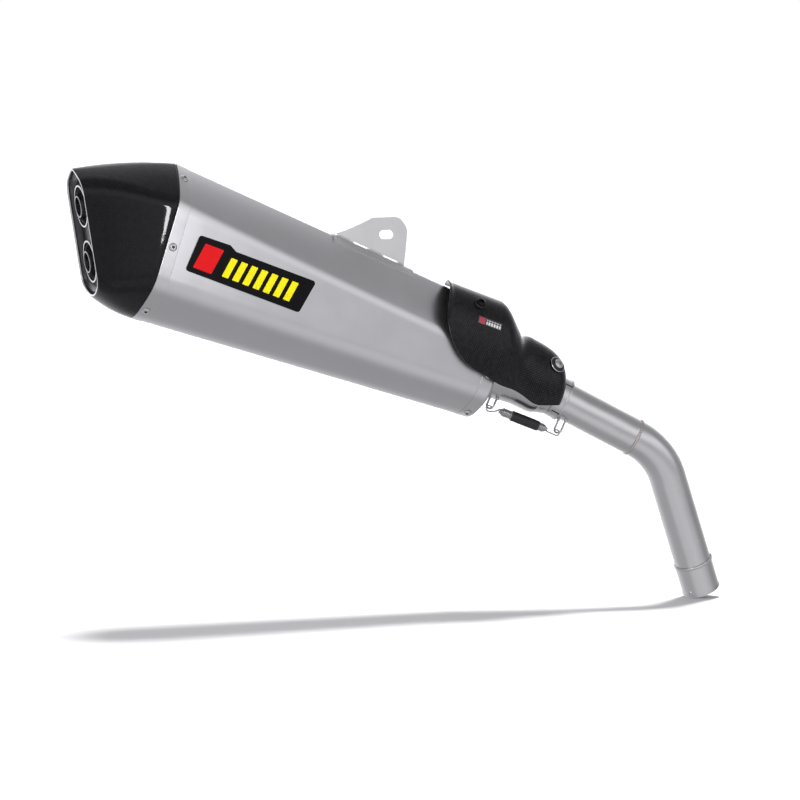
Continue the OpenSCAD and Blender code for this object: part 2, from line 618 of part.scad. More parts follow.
// threaded posts welded to the neck and the canister
module shield_posts() color("silver") on_muffler() {
    at_shield(nose_screw) translate([0, 0, -shield_t - 13.9]) tube(4.6, 3.06, 13);
    at_shield(top_screw) translate([0, 0, -shield_t - 19.9]) tube(4.6, 3.06, 19.1);
}
module shield_washer(d) translate([0, 0, 0.35]) difference() {
    union() {
        cylinder(d = d, h = 1.2, $fn = 64);
        cylinder(d = d - 3.4, h = 2, $fn = 64);
    }
    translate([0, 0, -1]) cylinder(d = 6.3, h = 4, $fn = 48);
}
module shield_washers() color([0.08, 0.08, 0.08]) on_muffler() {
    at_shield(nose_screw) shield_washer(20);
    at_shield(top_screw) shield_washer(15.4);
}
module shield_screws() color("gainsboro") on_muffler() for (p = [nose_screw, top_screw])
    at_shield(p) translate([0, 0, 2.4]) difference() {
        union() {
            rotate_extrude($fn = 64) polygon([[0, 0], [5.8, 0], [5.8, 1.4], [5.1, 2.7],
                [3.9, 3.4], [0, 3.4]]);
            translate([0, 0, -12.4]) cylinder(d = 6, h = 12.5, $fn = 48);
        }
        translate([0, 0, 1.2]) cylinder(d = 4.6, h = 4, $fn = 6);
    }
module shield_label() color([0.75, 0.05, 0.12]) on_muffler() {
    xs = [-31, -23, -15, -7, 1];
    patch([for (x = xs) [for (i = [0:4]) sh_pt(x, 45.6 + 1.9 * i, -0.75)]],
          [for (x = xs) [for (i = [0:4]) sh_pt(x, 45.6 + 1.9 * i, -0.25)]]);
}

// ---- badge on the outer side face ----
badge_x = -319;
badge_z = -2.6;
side_turn = atan((rear_w - front_w) / body_len);
module on_side(y) on_muffler() translate([badge_x, -mix(front_w, rear_w, -badge_x / body_len),
    badge_z]) rotate([0, 0, side_turn]) rotate([90, 0, 0]) translate([0, 0, y]) children();
module rounded(r) offset(r = r, $fn = 32) offset(delta = -r) children();
module badge_plate() color([0.06, 0.06, 0.07]) on_side(0.1) linear_extrude(1.2) rounded(3.5)
    polygon([[-badge_len / 2 - 6, -badge_h / 2], [badge_len / 2 + 1, -badge_h / 2],
             [badge_len / 2 + 9, badge_h / 2], [-badge_len / 2 + 45, badge_h / 2 - 0.4],
             [-badge_len / 2 + 36, badge_h / 2 + 4.4], [-badge_len / 2 - 3, badge_h / 2 + 3]]);
bar_n = 7;
bar_step = 13.4;
module badge_block() color([0.85, 0.05, 0.08]) on_side(1.35) linear_extrude(0.3) rounded(1.2)
    polygon([[-70, -14.5], [-46, -14.5], [-40.5, 16.5], [-64.5, 16.5]]);
module badge_bars() color([0.95, 0.88, 0.1]) on_side(1.35) linear_extrude(0.3)
    for (i = [0:bar_n - 1]) translate([-33 + i * bar_step, -12.5]) rounded(0.8)
        polygon([[0, 0], [8.2, 0], [12.4, 24], [4.2, 24]]);

// ---- retaining spring, hooked from the pipe to the neck ----
spring_a = [42.9, 140.6];
spring_b = [50.2, 207];
neck_eye = [53.2, 217];
module spring_tab() color("silver") on_upper(neck_eye.y) rotate([0, 0, spring_turn])
    wire_eye(38.2, neck_eye.x);
hook_r = 3.5;
spring_v = unit([spring_b.x - spring_a.x, spring_b.y - spring_a.y]);
module on_spring() on_upper(0) rotate([0, 0, spring_turn])
    translate([spring_a.x, 0, spring_a.y]) rotate([0, atan2(spring_v.x, spring_v.y), 0])
        children();
module wire_line(p, q) {
    d = q - p;
    translate([p.x, 0, p.y]) rotate([0, atan2(d.x, d.y), 0])
        cylinder(d = wire_d, h = norm(d), $fn = 16);
}
// arc in the hook plane, from angle a by w degrees, about c
module wire_arc(c, r, a, w) translate([c.x, 0, c.y]) rotate([90, 0, 0]) rotate([0, 0, a])
    rotate_extrude(angle = w, $fn = 64) translate([r, 0]) circle(d = wire_d, $fn = 16);
coil_n = floor(coil_len / wire_d);
function coil_edge(i) = min(1, 0.52 + 0.12 * min(i, coil_n - i)) * coil_d / 2;
module retaining_spring() color("silver") {
    on_spring() rotate_extrude($fn = 48) polygon(concat(
        [for (i = [0:coil_n - 1]) each [
            [coil_edge(i) - 0.45, i * wire_d], [coil_edge(i), (i + 0.3) * wire_d],
            [coil_edge(i), (i + 0.7) * wire_d]]],
        [[coil_edge(coil_n) - 0.45, coil_n * wire_d], [0, coil_n * wire_d],
         [0, coil_n * wire_d - 1.2], [2.6, coil_n * wire_d - 5],
         [2.6, 5], [0, 1.2], [0, 0]]));
    on_upper(0) rotate([0, 0, spring_turn]) {
        low = [eye_end, eye_z];
        wire_line(spring_a + 0.6 * spring_v, low + [hook_r, 0]);
        translate([low.x + hook_r, 0, low.y]) sphere(d = wire_d + 0.06, $fn = 24);
        wire_arc(low, hook_r, 0, -215);
        top = neck_eye;
        wire_line(spring_a + (coil_n * wire_d - 0.6) * spring_v, top + [hook_r, 0]);
        translate([top.x + hook_r, 0, top.y]) sphere(d = wire_d + 0.06, $fn = 24);
        wire_arc(top, hook_r, 0, 215);
    }
}
boot_r = coil_d / 2 + 0.02;
module spring_boot() color([0.05, 0.05, 0.05]) on_spring()
    translate([0, 0, coil_len / 2 - 3.2 - boot_len / 2]) rotate_extrude($fn = 64) polygon([
        [boot_r, 0], [boot_d / 2 - 0.5, 0], [boot_d / 2, 0.6], [boot_d / 2, boot_len - 0.6],
        [boot_d / 2 - 0.5, boot_len], [boot_r, boot_len]]);

inlet_sleeve();
sleeve_weld();
lower_tube();
pipe_bend();
bend_weld();
upper_tube();
spring_eye();
seal_ring();
inlet_collar();
inlet_neck();
neck_weld();
front_cap();
front_band();
front_rivets();
canister_sleeve();
rear_band();
rear_rivets();
end_cap();
tail_liner();
outlet_plate();
outlet_tube_upper();
outlet_tube_lower();
noise_insert_upper();
noise_insert_lower();
insert_screw_upper();
insert_screw_lower();
front_baffle();
rear_baffle();
perforated_core();
packing_wool();
hanger_saddle();
hanger_plate();
hanger_welds();
heat_shield();
shield_posts();
shield_washers();
shield_screws();
badge_plate();
badge_block();
badge_bars();
shield_label();
spring_tab();
retaining_spring();
spring_boot();
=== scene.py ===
import json
import math
import bmesh
import bpy
import numpy as np
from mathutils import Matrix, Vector

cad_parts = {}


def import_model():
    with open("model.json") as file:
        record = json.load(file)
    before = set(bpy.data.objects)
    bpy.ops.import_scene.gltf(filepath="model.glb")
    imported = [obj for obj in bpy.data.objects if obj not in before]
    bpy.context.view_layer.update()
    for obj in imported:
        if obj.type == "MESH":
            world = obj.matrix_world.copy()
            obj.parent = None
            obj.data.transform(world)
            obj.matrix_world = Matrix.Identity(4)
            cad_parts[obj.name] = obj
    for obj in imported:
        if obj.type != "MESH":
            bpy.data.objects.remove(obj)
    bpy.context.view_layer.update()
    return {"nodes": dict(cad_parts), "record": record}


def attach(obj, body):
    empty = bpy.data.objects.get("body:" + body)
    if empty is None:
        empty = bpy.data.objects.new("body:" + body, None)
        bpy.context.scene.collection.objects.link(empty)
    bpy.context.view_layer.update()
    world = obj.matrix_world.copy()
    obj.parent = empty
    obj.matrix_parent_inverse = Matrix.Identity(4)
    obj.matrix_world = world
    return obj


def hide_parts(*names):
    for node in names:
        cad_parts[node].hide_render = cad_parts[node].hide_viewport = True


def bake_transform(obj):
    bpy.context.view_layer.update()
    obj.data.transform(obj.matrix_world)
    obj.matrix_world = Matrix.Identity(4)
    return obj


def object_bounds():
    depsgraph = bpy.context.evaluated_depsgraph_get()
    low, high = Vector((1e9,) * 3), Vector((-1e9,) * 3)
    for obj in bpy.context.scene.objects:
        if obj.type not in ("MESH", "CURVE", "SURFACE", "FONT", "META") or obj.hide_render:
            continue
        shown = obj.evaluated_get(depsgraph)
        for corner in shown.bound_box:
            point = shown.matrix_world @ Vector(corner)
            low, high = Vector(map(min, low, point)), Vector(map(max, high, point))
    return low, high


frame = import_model()
MM = 0.001
rng = np.random.default_rng(7)

# ------------------------------------------------------------------ the muffler's own axes
# The slip joint's axis and the neck swivel's place come from the record; the rest repeats part.scad.
joints = {j["name"]: j for j in frame["record"]["behaviour"]["joints"]}
du = np.array(joints["slip_joint"]["axis"], float)
du /= np.linalg.norm(du)
# places along the upper tube, in mm from the corner where the two legs of the pipe would meet
NECK_AT, SWIVEL_AT, BELL_AT, TUBE_END, NECK_WELD_AT = 225, 150, 136, 181, 233.4
neck_c = np.array(joints["neck_swivel"]["pos_m"], float) / MM + (NECK_AT - SWIVEL_AT) * du
corner = neck_c - NECK_AT * du
TILT = math.radians(20.3)
EX = np.array([math.cos(TILT), 0, -math.sin(TILT)])
EY = np.array([0.0, 1, 0])
EZ = np.array([math.sin(TILT), 0, math.cos(TILT)])
NECK_OFF = np.array([35.3, 0.2, 4.0])
front_c = neck_c - (EX * NECK_OFF[0] + EY * NECK_OFF[1] + EZ * NECK_OFF[2])
dn = -np.array([du @ EX, du @ EY, du @ EZ])


def world(p):
    """muffler coordinates in mm -> row frame in metres"""
    p = np.asarray(p, float)
    return (front_c + p[..., 0:1] * EX + p[..., 1:2] * EY + p[..., 2:3] * EZ) * MM


down = np.array([0, 0, -1.0]) + du[2] * du
down /= np.linalg.norm(down)
side = np.cross(du, down)


def inlet(p, turn=0.0):
    """inlet coordinates (down, side, along the upper tube) in mm -> row frame in metres"""
    p = np.asarray(p, float)
    c, s = math.cos(math.radians(turn)), math.sin(math.radians(turn))
    a, b = down * c + side * s, side * c - down * s
    return (corner + p[..., 0:1] * a + p[..., 1:2] * b + p[..., 2:3] * du) * MM


# ------------------------------------------------------------------ sections, as in part.scad
# half heights and widths in mm, leans in degrees
BODY_LEN, FRONT_H, FRONT_W, REAR_H, REAR_W, REAR_LEAN = 427, 67.3, 47, 93.8, 64.5, 2.9
FACE_X, FACE_DROP, FACE_LEAN, FACE_H, FACE_W, CROWN = 509.9, 20.1, 29.35, 75.6, 38.0, 4.0
sin = lambda a: math.sin(math.radians(a))
cos = lambda a: math.cos(math.radians(a))
mix = lambda a, b, f: a + (b - a) * f

# quarter sections: [height of the shoulder as a share of the half height, slope at the shoulder,
# how much the oblique face bends, shoulder radius], above and below the middle
FRONT_TOP, FRONT_LOW = np.array([.163, 64, 22, 27]), np.array([.6, 41, 8, 30])
REAR_TOP, REAR_LOW = np.array([.52, 45, 17.5, 23]), np.array([.555, 45.5, 10, 35])
FACE_TOP, FACE_LOW = np.array([.76, 30, 5, 26]), np.array([.8, 34, 5, 20])
ARC = 12


def quarter(h, w, q, t, n):
    """section points from the top edge to the flank: three arcs that meet smoothly"""
    k, b, bend, r = q
    a = b - bend
    z = k * h - r * (1 - sin(b)) / cos(b)
    ra, rb = np.linalg.solve([[sin(a), sin(b) - sin(a)], [1 - cos(a), cos(a) - cos(b)]],
                             [w - r * (1 - sin(b)), h - z - r * cos(b)])
    arcs = [(0, h - ra, ra, 0, a), ((ra - rb) * sin(a), h - ra + (ra - rb) * cos(a), rb, a, b),
            (w - r, z, r, b, 90)]
    return [(cx + (rr - t) * sin(f), cz + (rr - t) * cos(f))
            for i, (cx, cz, rr, f0, f1) in enumerate(arcs)
            for f in np.linspace(f0, f1, n + 1)[min(i, 1):]]


def half_sec(h, w, top, low, t, n):
    """the flank between the two quarters is filled in with evenly spaced points"""
    above = quarter(h, w, top, t, n)
    below = [(x, -z) for x, z in quarter(h, w, low, t, n)][::-1]
    flank = [(w - t, mix(above[-1][1], below[0][1], g)) for g in np.linspace(0, 1, 9)[1:-1]]
    return np.array(above + flank + below)


def full_sec(p):
    """the whole section from its right half"""
    m = p[1:-1][::-1].copy()
    m[:, 0] *= -1
    return np.vstack([p, m])


def place(p, x, z, lean):
    """a section stood up at x, z and leaned back, in degrees"""
    return np.stack([x - p[:, 1] * sin(lean), p[:, 0], z + p[:, 1] * cos(lean)], -1)


def body_sec(f, t):
    """canister section at f (0 front, 1 rear), t mm inside the skin"""
    return full_sec(half_sec(mix(FRONT_H, REAR_H, f), mix(FRONT_W, REAR_W, f),
                             mix(FRONT_TOP, REAR_TOP, f), mix(FRONT_LOW, REAR_LOW, f), t, ARC))


def body_ring(f, t):
    return place(body_sec(f, t), -f * BODY_LEN, 0, f * REAR_LEAN)


def fx(x):
    """muffler x in mm -> share of the canister's length"""
    return -x / BODY_LEN


# directions in which the rear cap crowns along its top and its bottom edge, how far its flanks
# belly out in mm, and the power by which its width falls off towards the outlet face
CROWN_TOP, CROWN_LOW, BELLY, TAPER = np.array([-.35, .94]), np.array([-.17, -.6]), 3.5, 1.25


def bulge(s):
    """height of the crown at s along the rear cap"""
    return CROWN * (1 - (2 * s - 1) ** 2)


def cap_ring(s, t):
    """rear cap ring at s (0 at the canister, 1 at the outlet face), t mm inside the skin"""
    top = mix(np.array([-BODY_LEN - REAR_H * sin(REAR_LEAN), REAR_H * cos(REAR_LEAN)]),
              np.array([-FACE_X - FACE_H * sin(FACE_LEAN), -FACE_DROP + FACE_H * cos(FACE_LEAN)]),
              s) + bulge(s) * CROWN_TOP
    low = mix(np.array([-BODY_LEN + REAR_H * sin(REAR_LEAN), -REAR_H * cos(REAR_LEAN)]),
              np.array([-FACE_X + FACE_H * sin(FACE_LEAN), -FACE_DROP - FACE_H * cos(FACE_LEAN)]),
              s) + bulge(s) * CROWN_LOW
    d, c = top - low, (top + low) / 2
    h, g = np.linalg.norm(d) / 2, s * s * (3 - 2 * s)
    w = mix(REAR_W, FACE_W, s ** TAPER) + BELLY * sin(180 * s)
    return place(full_sec(half_sec(h, w, mix(REAR_TOP, FACE_TOP, g), mix(REAR_LOW, FACE_LOW, g),
                                   t, ARC)),
                 c[0], c[1], math.degrees(math.atan2(-d[0], d[1])))


# ------------------------------------------------------------------ mesh helpers
def make(name, verts, faces, uvs, body, mats, face_mat=None, sharp=35):
    """a piece that rides on body; uvs has one (u, v) per face corner, in metres"""
    me = bpy.data.meshes.new(name)
    me.from_pydata([tuple(v) for v in np.asarray(verts, float)], [], [list(map(int, f)) for f in faces])
    if uvs is not None:
        lay = me.uv_layers.new(name="UVMap")
        lay.data.foreach_set("uv", np.asarray(uvs, np.float32).reshape(-1))
    me.validate()
    ob = bpy.data.objects.new(name, me)
    bpy.context.scene.collection.objects.link(ob)
    for m in mats:
        me.materials.append(MAT[m])
    if face_mat is not None:
        me.polygons.foreach_set("material_index", np.asarray(face_mat, np.int32))
    me.polygons.foreach_set("use_smooth", [True] * len(me.polygons))
    me.set_sharp_from_angle(angle=math.radians(sharp))
    me.update()
    if body:
        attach(ob, body)
    return ob


def loft(rings):
    """rings (m, n, 3) in mm -> verts, quads, per-corner uvs (u round, v along) in metres"""
    R = np.asarray(rings, float)
    m, n = R.shape[:2]
    nxt = np.roll(R, -1, 1)
    seg = np.linalg.norm(nxt - R, axis=2)
    u = np.concatenate([np.zeros((m, 1)), np.cumsum(seg, 1)], 1)
    u = np.mean(u, 0) * np.ones((m, 1))
    v = np.concatenate([np.zeros((1, n)), np.cumsum(np.linalg.norm(np.diff(R, axis=0), axis=2), 0)], 0)
    v = np.mean(v, 1)
    faces, uvs = [], []
    for j in range(m - 1):
        for i in range(n):
            k = (i + 1) % n
            faces.append((j * n + i, j * n + k, (j + 1) * n + k, (j + 1) * n + i))
            uvs.append([(u[j, i], v[j]), (u[j, i + 1], v[j]), (u[j + 1, i + 1], v[j + 1]),
                        (u[j + 1, i], v[j + 1])])
    return R.reshape(-1, 3), faces, np.array(uvs) * MM


def torus_loop(rings):
    """rings go round a closed wall: outer skin, edge, inner skin, and back to the first"""
    return np.concatenate([rings, rings[:1]], 0)


def weld(ob, dist=1e-6):
    bm = bmesh.new()
    bm.from_mesh(ob.data)
    bmesh.ops.remove_doubles(bm, verts=bm.verts, dist=dist)
    bmesh.ops.recalc_face_normals(bm, faces=bm.faces)
    bm.to_mesh(ob.data)
    bm.free()


def tube_along(pts, radii, sides):
    """a round wire with closed ends through points (n, 3), with a radius for each point"""
    P = np.asarray(pts, float)
    n = len(P)
    T = np.gradient(P, axis=0)
    T /= np.linalg.norm(T, axis=1)[:, None]
    a = np.cross(T[0], [0.3, 0.5, 0.81])
    a /= np.linalg.norm(a)
    verts, faces, uvs = [], [], []
    for i in range(n):
        if i:
            a = a - (a @ T[i]) * T[i]
            a /= np.linalg.norm(a)
        b = np.cross(T[i], a)
        for k in range(sides):
            f = 2 * math.pi * k / sides
            verts.append(P[i] + radii[i] * (math.cos(f) * a + math.sin(f) * b))
    lens = np.concatenate([[0], np.cumsum(np.linalg.norm(np.diff(P, axis=0), axis=1))])
    for i in range(n - 1):
        for k in range(sides):
            q = (k + 1) % sides
            faces.append((i * sides + k, i * sides + q, (i + 1) * sides + q, (i + 1) * sides + k))
            uvs += [(k / sides, lens[i]), ((k + 1) / sides, lens[i]), ((k + 1) / sides, lens[i + 1]),
                    (k / sides, lens[i + 1])]
    faces.append(tuple(range(sides))[::-1])
    faces.append(tuple((n - 1) * sides + k for k in range(sides)))
    uvs += [(0, 0)] * (2 * sides)
    return np.array(verts), faces, np.array(uvs)


# ------------------------------------------------------------------ materials
def new_mat(name):
    m = bpy.data.materials.new(name)
    m.use_nodes = True
    nt = m.node_tree
    return m, nt, nt.nodes["Principled BSDF"]


class Net:
    """short way to add nodes and link them"""

    def __init__(self, nt):
        self.nt = nt

    def add(self, kind, **kw):
        n = self.nt.nodes.new("ShaderNode" + kind)
        for k, v in kw.items():
            setattr(n, k, v)
        return n

    def put(self, node, key, val):
        s = node.inputs[key]
        if isinstance(val, bpy.types.NodeSocket):
            self.nt.links.new(val, s)
        else:
            s.default_value = val

    def math(self, op, a, b=0.0, clamp=False):
        n = self.add("Math", operation=op, use_clamp=clamp)
        self.put(n, 0, a)
        self.put(n, 1, b)
        return n.outputs[0]

    def coord(self, kind, scale=(1, 1, 1)):
        t = self.add("TexCoord")
        m = self.add("Mapping")
        self.put(m, "Vector", t.outputs[kind])
        m.inputs["Scale"].default_value = scale
        return m.outputs[0]

    def noise(self, vec, scale, detail=3.0, rough=0.5):
        n = self.add("TexNoise")
        self.put(n, "Vector", vec)
        n.inputs["Scale"].default_value = scale
        n.inputs["Detail"].default_value = detail
        n.inputs["Roughness"].default_value = rough
        return n.outputs["Fac"]

    def ramp(self, fac, stops):
        r = self.add("ValToRGB")
        self.put(r, "Fac", fac)
        el = r.color_ramp.elements
        while len(el) < len(stops):
            el.new(0.5)
        for e, (p, c) in zip(el, stops):
            e.position = p
            e.color = (*c, 1) if isinstance(c, tuple) else (c, c, c, 1)
        return r.outputs["Color"]

    def range(self, v, a, b, c, d):
        """v from a..b to c..d"""
        n = self.add("MapRange")
        for k, x in zip((0, 1, 2, 3, 4), (v, a, b, c, d)):
            self.put(n, k, x)
        return n.outputs[0]

    def bump(self, height, strength, dist, normal=None):
        b = self.add("Bump")
        b.inputs["Strength"].default_value = strength
        b.inputs["Distance"].default_value = dist
        self.put(b, "Height", height)
        if normal is not None:
            self.put(b, "Normal", normal)
        return b.outputs[0]

    def mixc(self, fac, a, b):
        n = self.add("Mix", data_type="RGBA")
        self.put(n, 0, fac)
        for key, v in ((6, a), (7, b)):
            self.put(n, key, (*v, 1) if isinstance(v, tuple) else v)
        return n.outputs[2]


def metal(name, base, rough, vary=0.05, streak=None, wave=0.0, wave_scale=9, spots=0.0, coord="Object",
          tint=None, fine=0.02):
    """satin or brushed metal: streak stretches fine grinding marks, wave is slow unevenness"""
    m, nt, b = new_mat(name)
    w = Net(nt)
    b.inputs["Metallic"].default_value = 1.0
    vec = w.coord(coord)
    slow = w.noise(vec, 22, 4, 0.55)
    lo = tuple(c * (1 - vary) for c in base)
    hi = tuple(min(1, c * (1 + vary)) for c in base)
    col = w.mixc(slow, lo, hi)
    if tint:
        col = w.mixc(w.range(w.noise(vec, 14, 2), 0.5, 0.75, 0, 0.5), col, tint)
    if streak:
        line = w.noise(w.coord(coord, streak), 1.0, 5, 0.65)
    else:
        line = w.noise(vec, 2400, 2, 0.6)
    if spots:
        dirt = w.range(w.noise(vec, 60, 6, 0.7), 0.56, 0.72, 0, spots)
        col = w.mixc(dirt, col, tuple(c * 0.45 for c in base))
    w.put(b, "Base Color", col)
    r = w.math("ADD", w.range(slow, 0.3, 0.7, rough - vary * 0.8, rough + vary * 0.8),
               w.range(line, 0.3, 0.7, -vary * 0.7, vary * 0.7))
    w.put(b, "Roughness", w.math("MAXIMUM", r, 0.06))
    n = w.bump(line, fine, 0.0002)
    if wave:
        n = w.bump(w.noise(w.coord(coord), wave_scale, 2, 0.4), wave, 0.01, n)
    w.put(b, "Normal", n)
    return m


TOW = 0.00172


def carbon(name, dark=(0.0012, 0.0012, 0.0018), light=(0.017, 0.0175, 0.022)):
    """plain-weave carbon under a gloss clear coat; one tow is TOW metres wide; light is the colour of a
    painted sheen on the crowns of the over-tows
    """
    m, nt, b = new_mat(name)
    w = Net(nt)
    t = w.add("TexCoord")
    wob = w.noise(t.outputs["UV"], 70, 2, 0.5)
    sep = w.add("SeparateXYZ")
    w.put(sep, 0, t.outputs["UV"])
    u = w.math("ADD", w.math("DIVIDE", sep.outputs[0], TOW), w.math("MULTIPLY", wob, 0.9))
    v = w.math("ADD", w.math("DIVIDE", sep.outputs[1], TOW), w.math("MULTIPLY", wob, 0.7))
    cu, cv = w.math("FLOOR", u), w.math("FLOOR", v)
    over = w.math("MODULO", w.math("ABSOLUTE", w.math("ADD", cu, cv)), 2.0)
    over = w.math("GREATER_THAN", over, 0.5)
    fu = w.math("ABSOLUTE", w.math("SINE", w.math("MULTIPLY", u, math.pi)))
    fv = w.math("ABSOLUTE", w.math("SINE", w.math("MULTIPLY", v, math.pi)))
    # an over-tow arches along its own run and is round across it
    warp = w.math("MULTIPLY", w.math("POWER", fv, 0.8), w.math("POWER", fu, 0.35))
    weft = w.math("MULTIPLY", w.math("POWER", fu, 0.8), w.math("POWER", fv, 0.35))
    h = w.math("ADD", w.math("MULTIPLY", warp, over),
               w.math("MULTIPLY", weft, w.math("SUBTRACT", 1.0, over)))
    fib = w.noise(w.coord("UV", (9000, 500, 1)), 1, 2, 0.5)
    patch = w.noise(w.coord("UV"), 160, 3, 0.6)
    # painted sheen: the crowns of the over-tows are painted towards the light colour, as if they caught
    # the light
    painted_tow_sheen = w.math("MULTIPLY", w.math("MULTIPLY", over, w.math("POWER", h, 2.2)),
                  w.range(patch, 0.35, 0.65, 0.15, 1.0))
    painted_tow_sheen = w.math("MULTIPLY", painted_tow_sheen, w.range(fib, 0.3, 0.7, 0.75, 1.15), True)
    col = w.mixc(painted_tow_sheen, dark, light)
    w.put(b, "Base Color", col)
    w.put(b, "Roughness", w.range(painted_tow_sheen, 0, 1, 0.5, 0.32))
    b.inputs["Specular IOR Level"].default_value = 0.06
    b.inputs["Coat Weight"].default_value = 1.0
    b.inputs["Coat Roughness"].default_value = 0.05
    b.inputs["Coat IOR"].default_value = 1.29
    w.put(b, "Normal", w.bump(h, 0.35, 0.0001))
    w.put(b, "Coat Normal", w.bump(w.noise(w.coord("UV"), 90, 2, 0.4), 0.10, 0.0006))
    return m


def plain(name, base, rough, vary=0.12, bump=0.15, grain=700, coat=0.0, spec=0.5):
    """plastic, rubber or print"""
    m, nt, b = new_mat(name)
    w = Net(nt)
    vec = w.coord("Object")
    slow = w.noise(vec, 60, 4, 0.6)
    w.put(b, "Base Color", w.mixc(slow, tuple(c * (1 - vary) for c in base),
                                  tuple(min(1, c * (1 + vary)) for c in base)))
    g = w.noise(vec, grain, 3, 0.6)
    w.put(b, "Roughness", w.range(g, 0.3, 0.7, rough * 0.85, min(1, rough * 1.15)))
    b.inputs["Specular IOR Level"].default_value = spec
    b.inputs["Coat Weight"].default_value = coat
    b.inputs["Coat Roughness"].default_value = 0.08
    w.put(b, "Normal", w.bump(g, bump, 0.0002))
    return m


def label_mat(name):
    """a red square and rows of short white bars on black, by UV (0..1 across the label)"""
    m, nt, b = new_mat(name)
    w = Net(nt)
    sep = w.add("SeparateXYZ")
    w.put(sep, 0, w.coord("UV"))
    u, v = sep.outputs[0], sep.outputs[1]

    def between(x, a, c):
        return w.math("MULTIPLY", w.math("GREATER_THAN", x, a), w.math("LESS_THAN", x, c))

    red = w.math("MULTIPLY", between(u, 0.05, 0.30), between(v, 0.12, 0.88))
    bars = w.math("LESS_THAN", w.math("FRACT", w.math("MULTIPLY", u, 9.0)), 0.72)
    rows = w.math("MAXIMUM", between(v, 0.16, 0.56), between(v, 0.70, 0.80))
    white = w.math("MULTIPLY", w.math("MULTIPLY", bars, rows), between(u, 0.36, 0.96))
    grain = w.noise(w.coord("Object"), 900, 2)
    col = w.mixc(red, (0.012, 0.012, 0.013), (0.36, 0.004, 0.02))
    col = w.mixc(white, col, (0.62, 0.62, 0.62))
    w.put(b, "Base Color", w.mixc(w.range(grain, 0.3, 0.7, 0, 0.12), col, (0.2, 0.2, 0.2)))
    w.put(b, "Roughness", w.range(grain, 0.3, 0.7, 0.3, 0.4))
    b.inputs["Coat Weight"].default_value = 0.6
    b.inputs["Coat Roughness"].default_value = 0.08
    return m


GREY = (0.62, 0.622, 0.632)
MAT = dict(
    canister_metal=metal("canister_metal", GREY, 0.34, 0.035, (900, 16, 1), coord="UV", wave=0.02,
                         fine=0.012),
    band_steel=metal("band_steel", (0.63, 0.632, 0.64), 0.30, 0.04, (900, 16, 1), coord="UV"),
    cap_steel=metal("cap_steel", (0.60, 0.60, 0.61), 0.34, 0.05, wave=0.03),
    neck_steel=metal("neck_steel", (0.60, 0.60, 0.605), 0.28, 0.06, wave=0.06, spots=0.12),
    pipe_steel=metal("pipe_steel", (0.62, 0.62, 0.625), 0.24, 0.06, (260, 9, 1), coord="UV", wave=0.10,
                     wave_scale=16, spots=0.10),
    weld_bead=metal("weld_bead", (0.60, 0.59, 0.57), 0.30, 0.08, tint=(0.50, 0.44, 0.36), wave=0.2,
                    wave_scale=120, fine=0.06),
    hook_wire=metal("hook_wire", (0.52, 0.51, 0.50), 0.27, 0.06, spots=0.12),
    graphite=metal("graphite", (0.10, 0.10, 0.105), 0.5, 0.15),
    rivet_steel=metal("rivet_steel", (0.58, 0.585, 0.59), 0.24, 0.05),
    inner_steel=metal("inner_steel", (0.35, 0.33, 0.31), 0.4, 0.1),
    # near-black pins that paint the shade inside the rivet bores
    painted_bore_shade=plain("painted_bore_shade", (0.014, 0.014, 0.016), 0.45, 0.2, 0.03, 300),
    lip_gloss=plain("lip_gloss", (0.004, 0.004, 0.005), 0.25, 0.2, 0.03, 300, coat=1.0),
    dark_plate=metal("dark_plate", (0.030, 0.030, 0.033), 0.22, 0.15, fine=0.01),
    bright_lip=metal("bright_lip", (0.72, 0.72, 0.73), 0.16, 0.04),
    outlet_steel=metal("outlet_steel", (0.64, 0.64, 0.65), 0.18, 0.06, spots=0.06),
    insert_steel=metal("insert_steel", (0.46, 0.46, 0.47), 0.24, 0.08, spots=0.1),
    screw_steel=metal("screw_steel", (0.62, 0.62, 0.63), 0.22, 0.05),
    wool=plain("wool", (0.62, 0.55, 0.38), 0.9, 0.25, 0.8, 400),
    hanger_metal=metal("hanger_metal", (0.66, 0.66, 0.655), 0.42, 0.05, spots=0.05),
    # the light colour given to each carbon is that of its painted sheen on the over-tows
    carbon_cap=carbon("carbon_cap"),
    carbon_shield=carbon("carbon_shield", light=(0.035, 0.036, 0.039)),
    rubber_black=plain("rubber_black", (0.008, 0.008, 0.009), 0.5, 0.2, 0.35, 1400),
    badge_black=plain("badge_black", (0.0028, 0.0028, 0.0034), 0.42, 0.3, 0.05, 500, spec=0.10),
    badge_red=plain("badge_red", (0.62, 0.0035, 0.006), 0.42, 0.06, 0.05, 500, spec=0.12),
    badge_yellow=plain("badge_yellow", (0.80, 0.70, 0.004), 0.42, 0.06, 0.05, 500, spec=0.12),
    label_red=label_mat("label_red"),
    spring_steel=metal("spring_steel", (0.50, 0.50, 0.505), 0.26, 0.06, spots=0.1),
)

# every CAD node gets its slot's material
slots = {s["node"]: s["material_slot"] for s in frame["record"]["subparts"]}
for name, ob in frame["nodes"].items():
    ob.data.materials.clear()
    ob.data.materials.append(MAT[slots[name]])


def soften(ob, width, seg=2, angle=35):
    """slightly broken edges, width in mm"""
    bev = ob.modifiers.new("edges", "BEVEL")
    bev.width = width * MM
    bev.segments = seg
    bev.limit_method = "ANGLE"
    bev.angle_limit = math.radians(angle)


# ------------------------------------------------------------------ link pipe
dl = -np.array({m["name"]: m for m in frame["record"]["mounts"]}["inlet_socket"]["axis"], float)
dl /= np.linalg.norm(dl)
